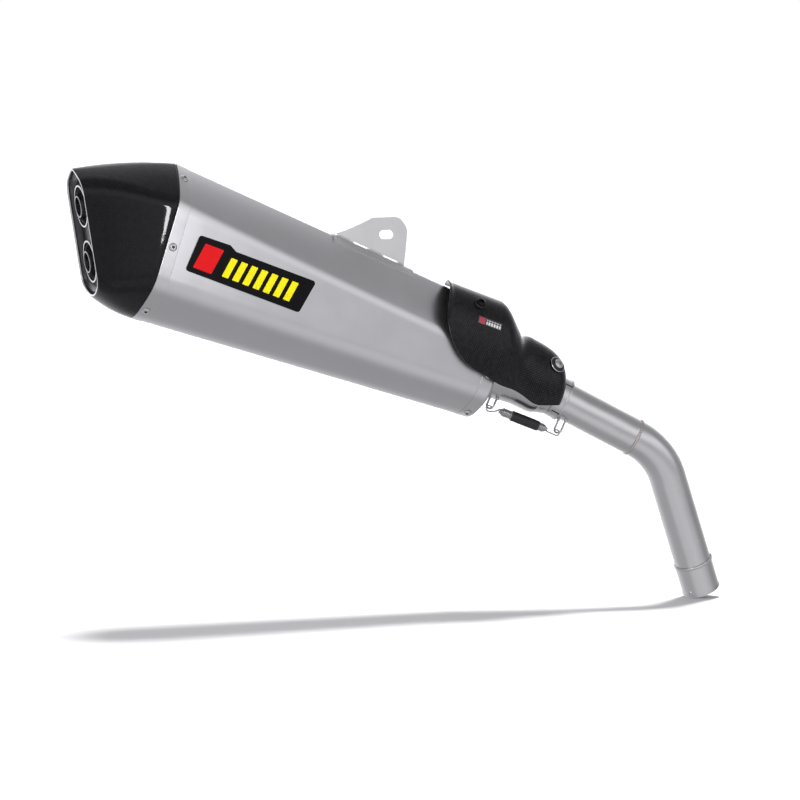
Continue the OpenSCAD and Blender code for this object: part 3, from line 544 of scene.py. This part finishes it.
# outer radius, wall, radius of the bend, length of the lower leg to the corner, depth of the sleeve
PIPE_R, WALL, BEND_R, LOWER, SOCKET = 22.5, 1.5, 90.0, 193.0, 38.0
bend_a = math.acos(float(dl @ du))
bend_tan = BEND_R * math.tan(bend_a / 2)
bend_x = du - (du @ dl) * dl
bend_x /= np.linalg.norm(bend_x)
bend_y = np.cross(dl, bend_x)
leg_top = LOWER - bend_tan


def ring_at(c, ex, ey, r, n):
    """n points on a circle round c"""
    f = np.linspace(0, 2 * math.pi, n, endpoint=False)
    return c + r * (np.cos(f)[:, None] * ex + np.sin(f)[:, None] * ey)


def pipe_piece(name, centres, axes_x, *nodes):
    """a walled tube through ring centres; every ring has its own in-plane x axis"""
    n = 112
    outer = [ring_at(c, x, bend_y, PIPE_R, n) for c, x in zip(centres, axes_x)]
    inner = [ring_at(c, x, bend_y, PIPE_R - WALL, n) for c, x in zip(centres, axes_x)][::-1]
    v, f, uv = loft(torus_loop(outer + inner))
    ob = make(name, v * MM, f, uv, "link_pipe", ["pipe_steel"], sharp=50)
    weld(ob)
    soften(ob, 0.3)
    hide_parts(*nodes)


bc = leg_top * dl + BEND_R * bend_x
zs = np.linspace(SOCKET + 0.05, leg_top, 30)
fs = np.linspace(0, bend_a, 32)[1:]
spoke = [math.cos(f) * bend_x - math.sin(f) * dl for f in fs]
pipe_piece("pipe_bent", [z * dl for z in zs] + [bc - BEND_R * q for q in spoke],
           [bend_x] * len(zs) + spoke, "lower_tube", "pipe_bend")
last_x = math.cos(bend_a) * bend_x - math.sin(bend_a) * dl
zs = np.linspace(bend_tan + 0.05, TUBE_END, 24)
pipe_piece("pipe_upper", [corner + z * du for z in zs], [last_x] * len(zs), "upper_tube")


def weld_ring(name, centre, axis, ex, r, rw, node, body, count):
    """a weld run laid as count overlapping scallops, rw mm thick, round a tube of radius r"""
    ey = np.cross(axis, ex)
    steps = count * 9
    sides = 12
    jit = rng.normal(0, 1, (count + 1, 3))
    verts = []
    for i in range(steps):
        k = i * count / steps
        j, g = int(k), k - int(k)
        edge = g ** 0.6
        size = rw * (0.90 + 0.16 * math.sin(math.pi * edge) + 0.02 * jit[j, 0])
        shift = 0.12 * rw * jit[j, 1] * math.sin(math.pi * g)
        f = 2 * math.pi * i / steps
        rad = math.cos(f) * ex + math.sin(f) * ey
        tan = -math.sin(f) * ex + math.cos(f) * ey
        for q in range(sides):
            a = 2 * math.pi * q / sides
            bow = 0.55 * (math.cos(a) ** 2) * rw
            verts.append(centre + rad * (r + size * math.cos(a) * 0.92)
                         + axis * (shift + size * 1.12 * math.sin(a)) + tan * bow)
    faces = [(i * sides + q, i * sides + (q + 1) % sides, ((i + 1) % steps) * sides + (q + 1) % sides,
              ((i + 1) % steps) * sides + q) for i in range(steps) for q in range(sides)]
    ob = make(name, np.array(verts) * MM, faces, None, body, ["weld_bead"], sharp=60)
    weld(ob, 1e-7)
    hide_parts(node)


weld_ring("weld_socket", (SOCKET + 1.2) * dl, dl, bend_x, r=22.75, rw=1.75, node="sleeve_weld",
          body="link_pipe", count=46)
weld_ring("weld_elbow", corner + (bend_tan + 1.5) * du, du, down, r=22.3, rw=1.65, node="bend_weld",
          body="link_pipe", count=52)
weld_ring("weld_neck", corner + NECK_WELD_AT * du, du, down, r=40.6, rw=2.1, node="neck_weld",
          body="muffler", count=76)


# ------------------------------------------------------------------ neck bell
def smooth_path(pts, per=6):
    """Catmull-Rom through the points"""
    P = np.asarray(pts, float)
    P = np.vstack([2 * P[0] - P[1], P, 2 * P[-1] - P[-2]])
    out = []
    for i in range(1, len(P) - 2):
        for t in np.linspace(0, 1, per, endpoint=False):
            a, b, c, d = P[i - 1:i + 3]
            out.append(0.5 * (2 * b + (c - a) * t + (2 * a - 5 * b + 4 * c - d) * t * t
                              + (3 * b - a - 3 * c + d) * t ** 3))
    out.append(P[-2])
    return np.array(out)


# (radius, place) along the outside and back along the inside
outer = smooth_path([[25.55, 15], [29.4, 26.4], [31.6, 30.5], [33, 37.4], [33.2, 47], [33.9, 58],
                     [35.9, 70], [38, 79], [40.2, 98.3]])
inner = smooth_path([[38.7, 98.3], [36.6, 79.5], [34.4, 70.5], [32.4, 58.4], [31.7, 47.4],
                     [31.5, 38], [30.2, 31.6], [28.3, 28], [25.55, 19]])
prof = np.vstack([outer, inner])
neck_rings = [ring_at(corner + (BELL_AT + z) * du, down, side, r, 96) for r, z in prof]
v, f, uv = loft(torus_loop(neck_rings))
neck = make("neck_bell", v * MM, f, uv, "muffler", ["neck_steel"], sharp=45)
weld(neck)
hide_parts("inlet_neck")

# ------------------------------------------------------------------ canister, bands, front cap
# wall of the sleeve, height of a band, how far the front cap stands out, width of a band
SL_T, BAND_T, LIP, BAND_W = 1.2, 0.5, 14.0, 15.0
stations = [fx(LIP - 0.1)] + list(np.linspace(0, 1, 34))
v, f, uv = loft(torus_loop([body_ring(q, 0) for q in stations]
                           + [body_ring(q, SL_T) for q in stations[::-1]]))
can = make("canister", world(v), f, uv, "muffler", ["canister_metal"], sharp=50)
weld(can)
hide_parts("canister_sleeve")


def strap(name, x0, x1, node):
    """a riveted band with softly broken edges, pressed onto the sleeve"""
    e = 0.3
    prof = [(x0, -0.1), (x0, -BAND_T + e), (x0 + e * 0.3, -BAND_T + e * 0.3), (x0 + e, -BAND_T),
            (x0 + 2 * e, -BAND_T), ((x0 + x1) / 2, -BAND_T), (x1 - 2 * e, -BAND_T),
            (x1 - e, -BAND_T), (x1 - e * 0.3, -BAND_T + e * 0.3), (x1, -BAND_T + e), (x1, -0.1)]
    v, f, uv = loft(torus_loop([body_ring(fx(x), t) for x, t in prof]))
    ob = make(name, world(v), f, uv, "muffler", ["band_steel"], sharp=30)
    weld(ob)
    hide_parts(node)


strap("band_front", 0.0, BAND_W, "front_band")
strap("band_rear", -BODY_LEN + 0.2, -BODY_LEN + BAND_W, "rear_band")

ny = np.array([0, 1.0, 0]) - dn[1] * dn
ny /= np.linalg.norm(ny)
nz = np.cross(dn, ny)


def neck_ring(x, r):
    """a ring round the neck's axis with its points matched to the canister's section"""
    s = body_sec(0, 0)
    a = np.arctan2(s[:, 0], s[:, 1])
    c = NECK_OFF + dn * ((x - NECK_OFF[0]) / dn[0])
    return c + r * (np.sin(a)[:, None] * ny + np.cos(a)[:, None] * nz)


def hermite(a, b, ta, tb, f):
    """point at f on the curve from a to b that leaves along ta and arrives along tb"""
    return ((2 * f ** 3 - 3 * f ** 2 + 1) * a + (f ** 3 - 2 * f ** 2 + f) * ta
            + (-2 * f ** 3 + 3 * f ** 2) * b + (f ** 3 - f ** 2) * tb)


# front cap: how far the lip's roll reaches ahead and inwards, where the cap meets the neck, the
# neck's radius there, and how strongly the cap's skin leaves the roll and arrives at the neck
ROLL_AHEAD, ROLL_IN, NECK_X, NECK_FIT, LEAVE, ARRIVE = 4.4, 4.2, 26, 40.9, 0.9, 9.0


def cap_profile(t0, back, neck_r, roll):
    """rings from inside the sleeve over the rolled lip to the neck weld"""
    out = [body_ring(fx(-12), t0), body_ring(fx(LIP), t0)]
    if roll:
        out.append(body_ring(fx(LIP), 0.0))
    edge = 0 if roll else 1.6
    for g in np.linspace(0, 90, 8)[1:]:
        out.append(body_ring(fx(LIP + ROLL_AHEAD * sin(g) - back), edge + ROLL_IN * (1 - cos(g))))
    a, b = out[-1], neck_ring(NECK_X - back, neck_r)
    inward = (b - a) * LEAVE
    inward[:, 0] *= 0.25
    ahead = np.tile(dn * ARRIVE, (len(a), 1))
    for g in np.linspace(0, 1, 9)[1:]:
        out.append(hermite(a, b, inward, ahead, g))
    return out


skin = cap_profile(SL_T + 0.15, 0, NECK_FIT, True)
lining = cap_profile(SL_T + 1.65, 1.5, NECK_FIT, False)
v, f, uv = loft(torus_loop(skin + lining[::-1]))
cap = make("cap_front", world(v), f, uv, "muffler", ["cap_steel"], sharp=45)
weld(cap)
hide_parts("front_cap")

# ------------------------------------------------------------------ rear cap of carbon
CAP_T = 2.2
# the dark groove at the canister's end: its share of the cap's length, and its depth
SEAM, SEAM_DEPTH = 0.013, 1.3
# how far the skin draws in just before the rim
RIM_IN = 0.28
ss = np.concatenate([[0.0, SEAM], np.linspace(0.02, 0.9, 26),
                     np.linspace(0.92, 1, 6)])
edge = [cap_ring(1.0, t) for t in (0.55, CAP_T - 0.55)]
flange = 1 - 13 / BODY_LEN
skin = [body_ring(flange, SL_T + 0.15), body_ring(1.0001, SL_T + 0.15)]
skin += [cap_ring(s, -BAND_T * (1 - s) * 0.5 + (RIM_IN if s > 0.995 else 0)
                  + SEAM_DEPTH * max(0, 1 - s / SEAM)) for s in ss]
lining = [body_ring(flange, SL_T + 1.75), body_ring(1.0001, SL_T + 1.75)]
lining += [cap_ring(s, CAP_T) for s in ss[1:]]
v, f, uv = loft(torus_loop(skin + edge + lining[::-1]))
tail = make("cap_rear", world(v), f, uv, "muffler", ["carbon_cap"], sharp=55)
weld(tail)
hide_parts("end_cap")

# ------------------------------------------------------------------ outlet face
FACE_O = np.array([-FACE_X, 0, -FACE_DROP])
F_UP = np.array([cos(90 + FACE_LEAN), 0, sin(90 + FACE_LEAN)])
F_OUT = np.array([-sin(90 + FACE_LEAN), 0, cos(90 + FACE_LEAN)])


def face_ring(t, z):
    """outlet face section, t mm inside its edge and z mm out of the face"""
    q = full_sec(half_sec(FACE_H, FACE_W, FACE_TOP, FACE_LOW, t, ARC + 4))
    return FACE_O + q[:, 1:2] * F_UP + q[:, 0:1] * EY + z * F_OUT


# from behind the rim over its bright rolled edge, then down a glossy fillet to the plate
prof = [(CAP_T + 0.02, -8.0), (CAP_T + 0.02, 0.0), (1.0, 0.02), (0.55, 0.12), (0.5, 0.35), (0.8, 0.6),
        (1.3, 0.68), (CAP_T, 0.6), (CAP_T + 0.5, 0.3), (CAP_T + 0.72, -0.3), (CAP_T + 0.8, -1.2),
        *[(CAP_T + 0.85 + 6 * (1 - cos(g)), -1.9 - 5.95 * sin(g)) for g in np.linspace(0, 90, 9)],
        (CAP_T + 7.2, -8.3), (CAP_T + 0.5, -8.3)]
v, f, uv = loft(torus_loop([face_ring(t, z) for t, z in prof]))
n_ring = len(face_ring(1, 0))
BRIGHT_ROWS = range(1, 10)
lip_faces = [0 if k // n_ring in BRIGHT_ROWS else 1 for k in range(len(f))]
lip = make("outlet_lip", world(v), f, uv, "muffler", ["bright_lip", "lip_gloss"],
           lip_faces, sharp=60)
weld(lip)

# ------------------------------------------------------------------ heat shield
# half height and half width over the canister and at the nose, reach to the rear and front, wall
SH_H, SH_W, NOSE_H, NOSE_W, SH_REAR, SH_FRONT, SH_T = 78.5, 58.0, 49.5, 42.0, 72.0, 110.5, 2.0
# how far the rear edge turns out, the depth of the dip behind the nose, and how square the section
# is over the canister and at the nose (2 is an ellipse)
FLARE, SADDLE, SH_SQUARE, NOSE_SQUARE = 2.5, 4, 2.5, 2.1
# x where the lower edge's rear curve ends, x where the upper edge levels off, and its angle there
EDGE_TURN, EDGE_FLAT, UPPER_A = -3, -60, -14
# angle of the line that the weave is measured from
SPINE = 50


def ease(x, start, reach):
    """0 up to start, then a smooth rise to 1 at start + reach"""
    c = min(1.0, max(0.0, (x - start) / reach))
    return c * c * (3 - 2 * c)


def sh_c(x):
    """middle of the shield at x: on the canister's axis at the rear, on the neck's at the front"""
    s = ease(x, 5, 60)
    g = (x - NECK_OFF[0]) / dn[0]
    return np.array([x, NECK_OFF[1] * s + dn[1] * g * s, (NECK_OFF[2] + dn[2] * g) * s])


def sh_q(x):
    """how open the shield is at x: it closes to a rounded nose"""
    return math.sqrt(max(0, 1 - max(0, (x - 52) / 61.5) ** 4))


def sh_pt(x, a, t=0.0):
    """skin of the shield at x and a degrees from the top, t mm further in"""
    h = mix(SH_H, NOSE_H, ease(x, 3, 42)) * mix(1, sh_q(x) ** 0.7, ease(x, 40, 30)) \
        - SADDLE * ease(x, 33, 10) * (1 - ease(x, 45, 12))
    wd = mix(SH_W, NOSE_W, ease(x, 12, 50)) * mix(1, sh_q(x) ** 0.5, ease(x, 40, 30))
    n = mix(SH_SQUARE, NOSE_SQUARE, ease(x, 12, 50))
    r = ((abs(sin(a)) / (wd - t)) ** n + (abs(cos(a)) / (h - t)) ** n) ** (-1 / n)
    r += FLARE * (1 - ease(x, -SH_REAR, 8))
    return sh_c(x) + np.array([0, -r * sin(a), r * cos(a)])


def sh_lo(x):
    """angle of the lower edge"""
    if x < EDGE_TURN:
        return 44 + 61 * max(0, 1 - min(1, (EDGE_TURN - x) / 70.8) ** 2.2) ** 0.77
    return 105 + 21 * min(1, (x - EDGE_TURN) / 83) - 15 * ease(x, 70, 40)


def sh_up(x):
    """angle of the upper edge"""
    if x < EDGE_FLAT:
        return mix(28, UPPER_A, max(0, (x + SH_REAR) / (SH_REAR + EDGE_FLAT)) ** 0.6)
    return UPPER_A


def sh_nrm(x, a):
    """outward direction of the skin"""
    n = -np.cross(sh_pt(x + 1, a) - sh_pt(x - 1, a), sh_pt(x, a + 1) - sh_pt(x, a - 1))
    return n / np.linalg.norm(n)


NX, NA = ((84, 54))
sp = np.linspace(0, 1, NX)
xs = -SH_REAR + (SH_FRONT + SH_REAR) * (0.5 * sp + 0.5 * (1 - np.cos(np.pi * sp)) / 2)
rows = np.array([[sh_pt(x, mix(sh_up(x), sh_lo(x), i / NA)) for i in range(NA + 1)] for x in xs])
ang = np.array([[mix(sh_up(x), sh_lo(x), i / NA) for i in range(NA + 1)] for x in xs])
seg = np.linalg.norm(np.diff(rows, axis=1), axis=2)
arc = np.concatenate([np.zeros((NX, 1)), np.cumsum(seg, 1)], 1)
for j in range(NX):
    arc[j] -= np.interp(SPINE, ang[j], arc[j])
spine = np.array([sh_pt(x, SPINE) for x in xs])
run = np.concatenate([[0], np.cumsum(np.linalg.norm(np.diff(spine, axis=0), axis=1))])
W = NA + 1
faces = [(j * W + i, j * W + i + 1, (j + 1) * W + i + 1, (j + 1) * W + i)
         for j in range(NX - 1) for i in range(NA)]
grid_uv = np.stack([arc, np.repeat(run[:, None], W, 1)], -1).reshape(-1, 2) * MM
uvs = np.array([grid_uv[i] for f in faces for i in f])
shield = make("heat_guard", world(rows.reshape(-1, 3)), faces, uvs, "muffler",
              ["carbon_shield"], sharp=60)
# faces look outwards, so the wall grows inwards
mid = shield.data.polygons[(NX // 2) * NA + NA // 2]
out = world(sh_pt(0, SPINE) + sh_nrm(0, SPINE)) - world(sh_pt(0, SPINE))
if Vector(out).dot(mid.normal) < 0:
    shield.data.flip_normals()
sol = shield.modifiers.new("wall", "SOLIDIFY")
sol.thickness = SH_T * MM
sol.offset = -1
soften(shield, 0.7, 3, 60)
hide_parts("heat_shield")

# printed label on the shield
# its ends along the shield, and the angles of its upper and lower edges
LAB_X, LAB_A = (-31.0, 1.0), (45.6, 53.2)
nu, nv = 16, 8
pts = np.array([[sh_pt(mix(*LAB_X, i / nu), mix(*LAB_A, j / nv), -0.3) for j in range(nv + 1)]
                for i in range(nu + 1)])
faces = [(i * (nv + 1) + j, i * (nv + 1) + j + 1, (i + 1) * (nv + 1) + j + 1, (i + 1) * (nv + 1) + j)
         for i in range(nu) for j in range(nv)]
uvs = np.array([(k // (nv + 1) / nu, 1 - k % (nv + 1) / nv) for f in faces for k in f])
lab = make("guard_label", world(pts.reshape(-1, 3)), faces, uvs, "muffler",
           ["label_red"])
if Vector(out).dot(lab.data.polygons[20].normal) < 0:
    lab.data.flip_normals()
sol = lab.modifiers.new("film", "SOLIDIFY")
sol.thickness = 0.0003
sol.offset = 1
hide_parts("shield_label")


def turned(o, ex, ez, prof, sides=64):
    """surface of revolution: prof is (r, z) in mm round o along ez, closed loop"""
    ey = np.cross(ez, ex)
    rings = [o + z * ez + ring_at(np.zeros(3), ex, ey, max(r, 1e-3), sides) for r, z in prof]
    return loft(torus_loop(rings))


# cushioned washers under the two shield screws: a dish with a rubber ring in it
for k, (x, a, r, dish_mat) in enumerate(((89, 46, 10, "screw_steel"), (-31, 33, 7.7, "rubber_black"))):
    n = sh_nrm(x, a)
    e = np.array([0, 0, 1.0]) - n[2] * n
    e /= np.linalg.norm(e)
    o = sh_pt(x, a)
    dish = [(3.15, 0.35), (r - .4, 0.35), (r, 0.6), (r + .05, 1.2), (r - .1, 1.75), (r - .45, 1.95),
            (r - .8, 1.75), (r - 1.05, 1.1), (r - 1.4, 1.0), (3.15, 1.0)]
    rub = [(3.2, 1.02), (r - 1.5, 1.02), (r - 1.3, 1.3), (r - 1.35, 1.8), (r - 1.8, 2.25),
           (r - 2.6, 2.38), (3.2, 2.38)]
    for tag, pr, sl in (("dish", dish, dish_mat), ("pad", rub, "rubber_black")):
        v, f, uv = turned(o, e, n, pr)
        ob = make("guard_washer_%s_%d" % (tag, k + 1), world(v), f, uv, "muffler", [sl],
                  sharp=50)
        weld(ob)
        if k == 0 and tag == "dish":
            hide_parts("shield_washers")

# ------------------------------------------------------------------ retaining spring
# in inlet coordinates, turned TURN degrees round the tube: coil ends A and B, hook centres
TURN, WIRE, COIL_D = 16.0, 1.8, 10.6
A, B = np.array([42.9, 0, 140.6]), np.array([50.2, 0, 207.0])
LOW_EYE, TOP_EYE, HOOK_R = np.array([40.7, 0, 128.0]), np.array([53.2, 0, 217.0]), 3.5
axis = (B - A) / np.linalg.norm(B - A)
nrm = np.array([axis[2], 0, -axis[0]])
yy = np.array([0.0, 1, 0])
COIL_LEN, PITCH = 64.8, 1.87
turns = COIL_LEN / PITCH


def hook(c, a0, a1, n=26):
    """round hook about c from angle a0 to a1"""
    return np.array([c + HOOK_R * np.array([cos(g), 0, sin(g)]) for g in np.linspace(a0, a1, n)])


coil = []
per = 30
for k in range(int(turns * per) + 1):
    p = k / per
    near = min(p, turns - p)
    r = (COIL_D - WIRE) / 2 * min(1, 0.36 + 0.64 * ease(near, 0, 3.4))
    g = 2 * math.pi * p
    coil.append(A + axis * (p * PITCH) + r * (math.cos(g) * nrm + math.sin(g) * yy))
coil = np.array(coil)


def lead(p, q, tp, tq, n=14):
    """smooth wire between two ends"""
    return np.array([hermite(p, q, tp, tq, g) for g in np.linspace(0, 1, n + 1)[1:-1]])


low_hook = hook(LOW_EYE, -232, 0)
top_hook = hook(TOP_EYE, 0, 232)
t0 = (coil[1] - coil[0]) / np.linalg.norm(coil[1] - coil[0])
t1 = (coil[-1] - coil[-2]) / np.linalg.norm(coil[-1] - coil[-2])
UPZ = np.array([0, 0, 1.0])
path = np.vstack([low_hook, lead(low_hook[-1], coil[0], UPZ * 16, t0 * 9), coil,
                  lead(coil[-1], top_hook[0], t1 * 9, UPZ * 10), top_hook])
# the wire has rounded ends, and is made as two halves, one at the pipe's side and one at the neck's
rad = np.full(len(path), WIRE / 2)
rad[:3] *= [0.55, 0.85, 1.0]
rad[-3:] *= [1.0, 0.85, 0.55]
cut = int(len(path) * 0.47)
halves = {"spring_pipe_side": slice(0, cut + 1), "spring_neck_side": slice(cut, len(path))}
for name, part in halves.items():
    v, f, uv = tube_along(path[part], rad[part], 12)
    ob = make(name, inlet(v, TURN), f, uv * MM, None, ["spring_steel"], sharp=60)
    if name == "spring_pipe_side":
        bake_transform(ob)
        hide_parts("retaining_spring")
    else:
        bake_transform(ob)

# the rubber sleeve: its two ends along the spring, and its radius
b0, b1, br = 11.8, 47.8, 6.2
prof = [(5.33, b0 + 0.2), (5.7, b0), (br - 0.15, b0 + 0.25), (br, b0 + 0.8)]
prof += [(br + 0.12 * math.sin(math.pi * g), mix(b0 + 0.8, b1 - 0.8, g))
         for g in np.linspace(0, 1, 22)[1:-1]]
prof += [(br, b1 - 0.8), (br - 0.15, b1 - 0.25), (5.7, b1), (5.33, b1 - 0.2)]
prof += [(5.33, mix(b1, b0, g)) for g in np.linspace(0, 1, 20)[1:-1]]
v, f, uv = turned(A, nrm, axis, prof, 48)
boot = make("spring_cover", inlet(v, TURN), f, uv, None, ["rubber_black"], sharp=50)
weld(boot, 1e-7)
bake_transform(boot)
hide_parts("spring_boot")

# ------------------------------------------------------------------ broken edges on what stays from CAD
EDGES = (
    ("inlet_sleeve", 0.35), ("inlet_collar", 0.25), ("front_rivets", 0.2), ("rear_rivets", 0.2),
    ("outlet_plate", 0.3), ("outlet_tube_upper", 0.3), ("outlet_tube_lower", 0.3),
    ("noise_insert_upper", 0.35), ("noise_insert_lower", 0.35), ("insert_screw_upper", 0.25),
    ("insert_screw_lower", 0.25), ("hanger_plate", 0.5), ("hanger_saddle", 0.4),
    ("shield_screws", 0.25), ("badge_plate", 0.4), ("badge_block", 0.1), ("badge_bars", 0.1),
    ("hanger_welds", 0.3))
for name, width in EDGES:
    soften(frame["nodes"][name], width, 2, 40)


# ------------------------------------------------------------------ dark pins in the rivet bores: painted shade, standing in for the shadow inside each bore
def rivet_seats(ob):
    """for each separate rivet in a mesh: the middle of its seat and the outward axis, in mm"""
    me = ob.data
    pts = [tuple(np.round(np.array(v.co) / MM, 3)) for v in me.vertices]
    root = {}

    def find(a):
        while root.setdefault(a, a) != a:
            a = root[a]
        return a

    for p in me.polygons:
        for i in p.vertices[1:]:
            root[find(pts[i])] = find(pts[p.vertices[0]])
    groups = {}
    for p in me.polygons:
        groups.setdefault(find(pts[p.vertices[0]]), []).append(p)
    out = []
    for polys in groups.values():
        # the widest flat faces are the underside of the head and, deeper in, the end of the tail
        flat = {}
        for p in polys:
            flat.setdefault(tuple(int(round(c * 50)) for c in p.normal), []).append(p)
        seat = max(flat.values(), key=lambda g: sum(p.area for p in g))
        area = np.array([p.area for p in seat])
        axis = -(area @ np.array([p.normal for p in seat]))
        axis /= np.linalg.norm(axis)
        spots = np.array([p.center for p in seat]) / MM
        middle = area @ spots / area.sum()
        out.append((middle + axis * ((spots - middle) @ axis).max(), axis))
    return out


# pin outline (radius, height over the seat), from the middle of its top round to the middle below
PIN = [(0.0, 0.42), (0.9, 0.38), (1.5, 0.28), (1.7, 0.16), (1.7, -0.3), (0.0, -0.3)]
SIDES = 20
verts, faces = [], []
for name in ("front_rivets", "rear_rivets"):
    for seat, axis in rivet_seats(frame["nodes"][name]):
        across = np.cross(axis, (0, 0, 1.0))
        across /= np.linalg.norm(across)
        up = np.cross(axis, across)
        base = len(verts)
        for r, h in PIN[1:-1]:
            for g in np.linspace(0, 360, SIDES, endpoint=False):
                verts.append((seat + axis * h + (across * cos(g) + up * sin(g)) * r) * MM)
        top, end = len(verts), len(verts) + 1
        verts += [(seat + axis * PIN[0][1]) * MM, (seat + axis * PIN[-1][1]) * MM]
        for i in range(SIDES):
            j = (i + 1) % SIDES
            for k in range(len(PIN) - 3):
                a, b = base + k * SIDES, base + (k + 1) * SIDES
                faces.append((a + i, b + i, b + j, a + j))
            last = base + (len(PIN) - 3) * SIDES
            faces += [(top, base + i, base + j), (end, last + j, last + i)]
# the pins are near black: painted shade deep in each bore
make("rivet_bore_shade", verts, faces, None, "muffler", ["painted_bore_shade"], sharp=50)

# ------------------------------------------------------------------ shield screws
# the upper one is black, the one on the nose is bright
screws = frame["nodes"]["shield_screws"]
heights = [v.co.z for v in screws.data.vertices]
mat, nt, b = new_mat("screw_pair")
w = Net(nt)
sep = w.add("SeparateXYZ")
w.put(sep, 0, w.coord("Object"))
upper = w.math("GREATER_THAN", sep.outputs[2], (min(heights) + max(heights)) / 2)
speck = w.mixc(w.noise(w.coord("Object"), 700, 3), (0.56, 0.565, 0.575), (0.62, 0.62, 0.63))
w.put(b, "Base Color", w.mixc(upper, speck, (0.02, 0.02, 0.022)))
b.inputs["Metallic"].default_value = 1.0
b.inputs["Roughness"].default_value = 0.24
screws.material_slots[0].material = mat

# ------------------------------------------------------------------ floor, light, camera
scene = bpy.context.scene
lo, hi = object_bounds()
mid = (lo + hi) / 2


def stage_piece(me, mat, loc):
    """the floor or the backdrop, which aren't part of the object"""
    me.materials.append(mat)
    ob = bpy.data.objects.new(me.name, me)
    ob.location = loc
    ob.visible_glossy = False
    scene.collection.objects.link(ob)
    return ob


floor_mat, nt, b = new_mat("studio_floor")
w = Net(nt)
w.put(b, "Base Color", w.mixc(w.noise(w.coord("Object"), 3, 2), (0.70, 0.70, 0.70), (0.72, 0.72, 0.72)))
b.inputs["Roughness"].default_value = 0.75
b.inputs["Specular IOR Level"].default_value = 0.1
me = bpy.data.meshes.new("floor")
me.from_pydata([(-100, -100, 0), (100, -100, 0), (100, 100, 0), (-100, 100, 0)], [], [(0, 1, 2, 3)])
stage_piece(me, floor_mat, (mid.x, mid.y, lo.z - 0.0002))

# a plain white backdrop dome that only the camera sees
dome_mat, nt, b = new_mat("studio_backdrop")
w = Net(nt)
em = w.add("Emission")
w.put(em, "Color", w.mixc(w.noise(w.coord("Object"), 0.01, 1), (1.0, 1.0, 1.0), (1.02, 1.02, 1.02)))
nt.links.new(em.outputs[0], nt.nodes["Material Output"].inputs["Surface"])
me = bpy.data.meshes.new("backdrop")
bm = bmesh.new()
bmesh.ops.create_uvsphere(bm, u_segments=48, v_segments=24, radius=90)
bm.to_mesh(me)
bm.free()
dome = stage_piece(me, dome_mat, (mid.x, mid.y, 0))
dome.visible_diffuse = dome.visible_shadow = dome.visible_transmission = False

COOL = (1.0, 0.99, 1.03)
# room light by direction: back by how far it comes from behind, under for what comes from below
# there, front by its height where it comes from the camera's side, and low from the outlet end
world_sh = bpy.data.worlds.new("studio")
scene.world = world_sh
world_sh.use_nodes = True
w = Net(world_sh.node_tree)
bg = world_sh.node_tree.nodes["Background"]
sep = w.add("SeparateXYZ")
w.put(sep, 0, w.add("TexCoord").outputs["Generated"])
dx, dy, dz = sep.outputs
back = w.ramp(w.range(dy, -1, 1, 0, 1),
              [(0.0, 0.50), (0.30, 0.38), (0.5, 0.37), (0.65, 0.44), (0.75, 0.62), (0.85, 1.10),
               (1.0, 1.30)])
under = w.ramp(w.range(dy, -1, 1, 0, 1),
               [(0.0, 0.50), (0.5, 0.45), (0.65, 0.46), (0.8, 0.56), (0.93, 0.85), (1.0, 1.0)])
back = w.mixc(w.range(dz, -0.05, -0.3, 0, 1), back, under)
front = w.ramp(w.range(dz, -1, 1, 0, 1),
               [(0.0, 0.42), (0.12, 0.72), (0.25, 0.80), (0.38, 0.62), (0.47, 0.56), (0.56, 0.88),
                (0.64, 1.08), (0.72, 1.06), (0.79, 0.70), (0.85, 0.36), (1.0, 0.35)])
wall = w.mixc(w.range(dy, -0.30, -0.55, 0, 1), back, front)
low = w.math("MULTIPLY", w.range(dz, 0.0, -0.7, 0, 1), w.range(dx, -0.3, -0.9, 0.0, 0.25))
tint = w.add("VectorMath", operation="MULTIPLY")
w.put(tint, 0, wall)
w.put(tint, 1, COOL)
w.put(bg, "Color", tint.outputs[0])
w.put(bg, "Strength", w.math("ADD", 1.0, low))


def lamp(name, kind, loc, look, power, glossy=True, **more):
    """a light at loc that looks at a point and that the camera doesn't see"""
    light = bpy.data.lights.new(name, kind)
    light.energy = power
    for k, v in more.items():
        setattr(light, k, v)
    ob = bpy.data.objects.new(name, light)
    ob.location = loc
    ob.rotation_euler = (Vector(look) - Vector(loc)).to_track_quat("-Z", "Y").to_euler()
    ob.visible_camera = False
    ob.visible_glossy = glossy
    scene.collection.objects.link(ob)


# a soft overhead sun draws the floor shadow; a narrow strip light stands off the rear cap
lamp("light_top", "SUN", (mid.x + 0.29, mid.y + 0.80, 3), (mid.x, mid.y, 0), 4.6, glossy=False,
     angle=math.radians(12))
ring = cap_ring(0.12, 0)
cap_side = Vector(world(ring[len(ring) // 4]))
lamp("light_strip", "AREA", cap_side + Vector((0.114, -0.90, 0.110)), cap_side, 1.3,
     shape="RECTANGLE", size=0.045, size_y=0.20, color=COOL)

AZ, EL = math.radians(-19.5), math.radians(4.0)
cam = bpy.data.objects.new("camera", bpy.data.cameras.new("camera"))
cam.data.lens = 180
cam.data.sensor_width = 36
cam.data.clip_end = 300
to_camera = Vector((math.sin(AZ) * math.cos(EL), -math.cos(AZ) * math.cos(EL), math.sin(EL)))
cam.location = Vector((-1.9910, -4.5083, 0.5769))
cam.rotation_euler = (-to_camera).to_track_quat("-Z", "Y").to_euler()
scene.collection.objects.link(cam)
scene.camera = cam
scene.view_settings.view_transform = "Standard"
scene.view_settings.look = "None"
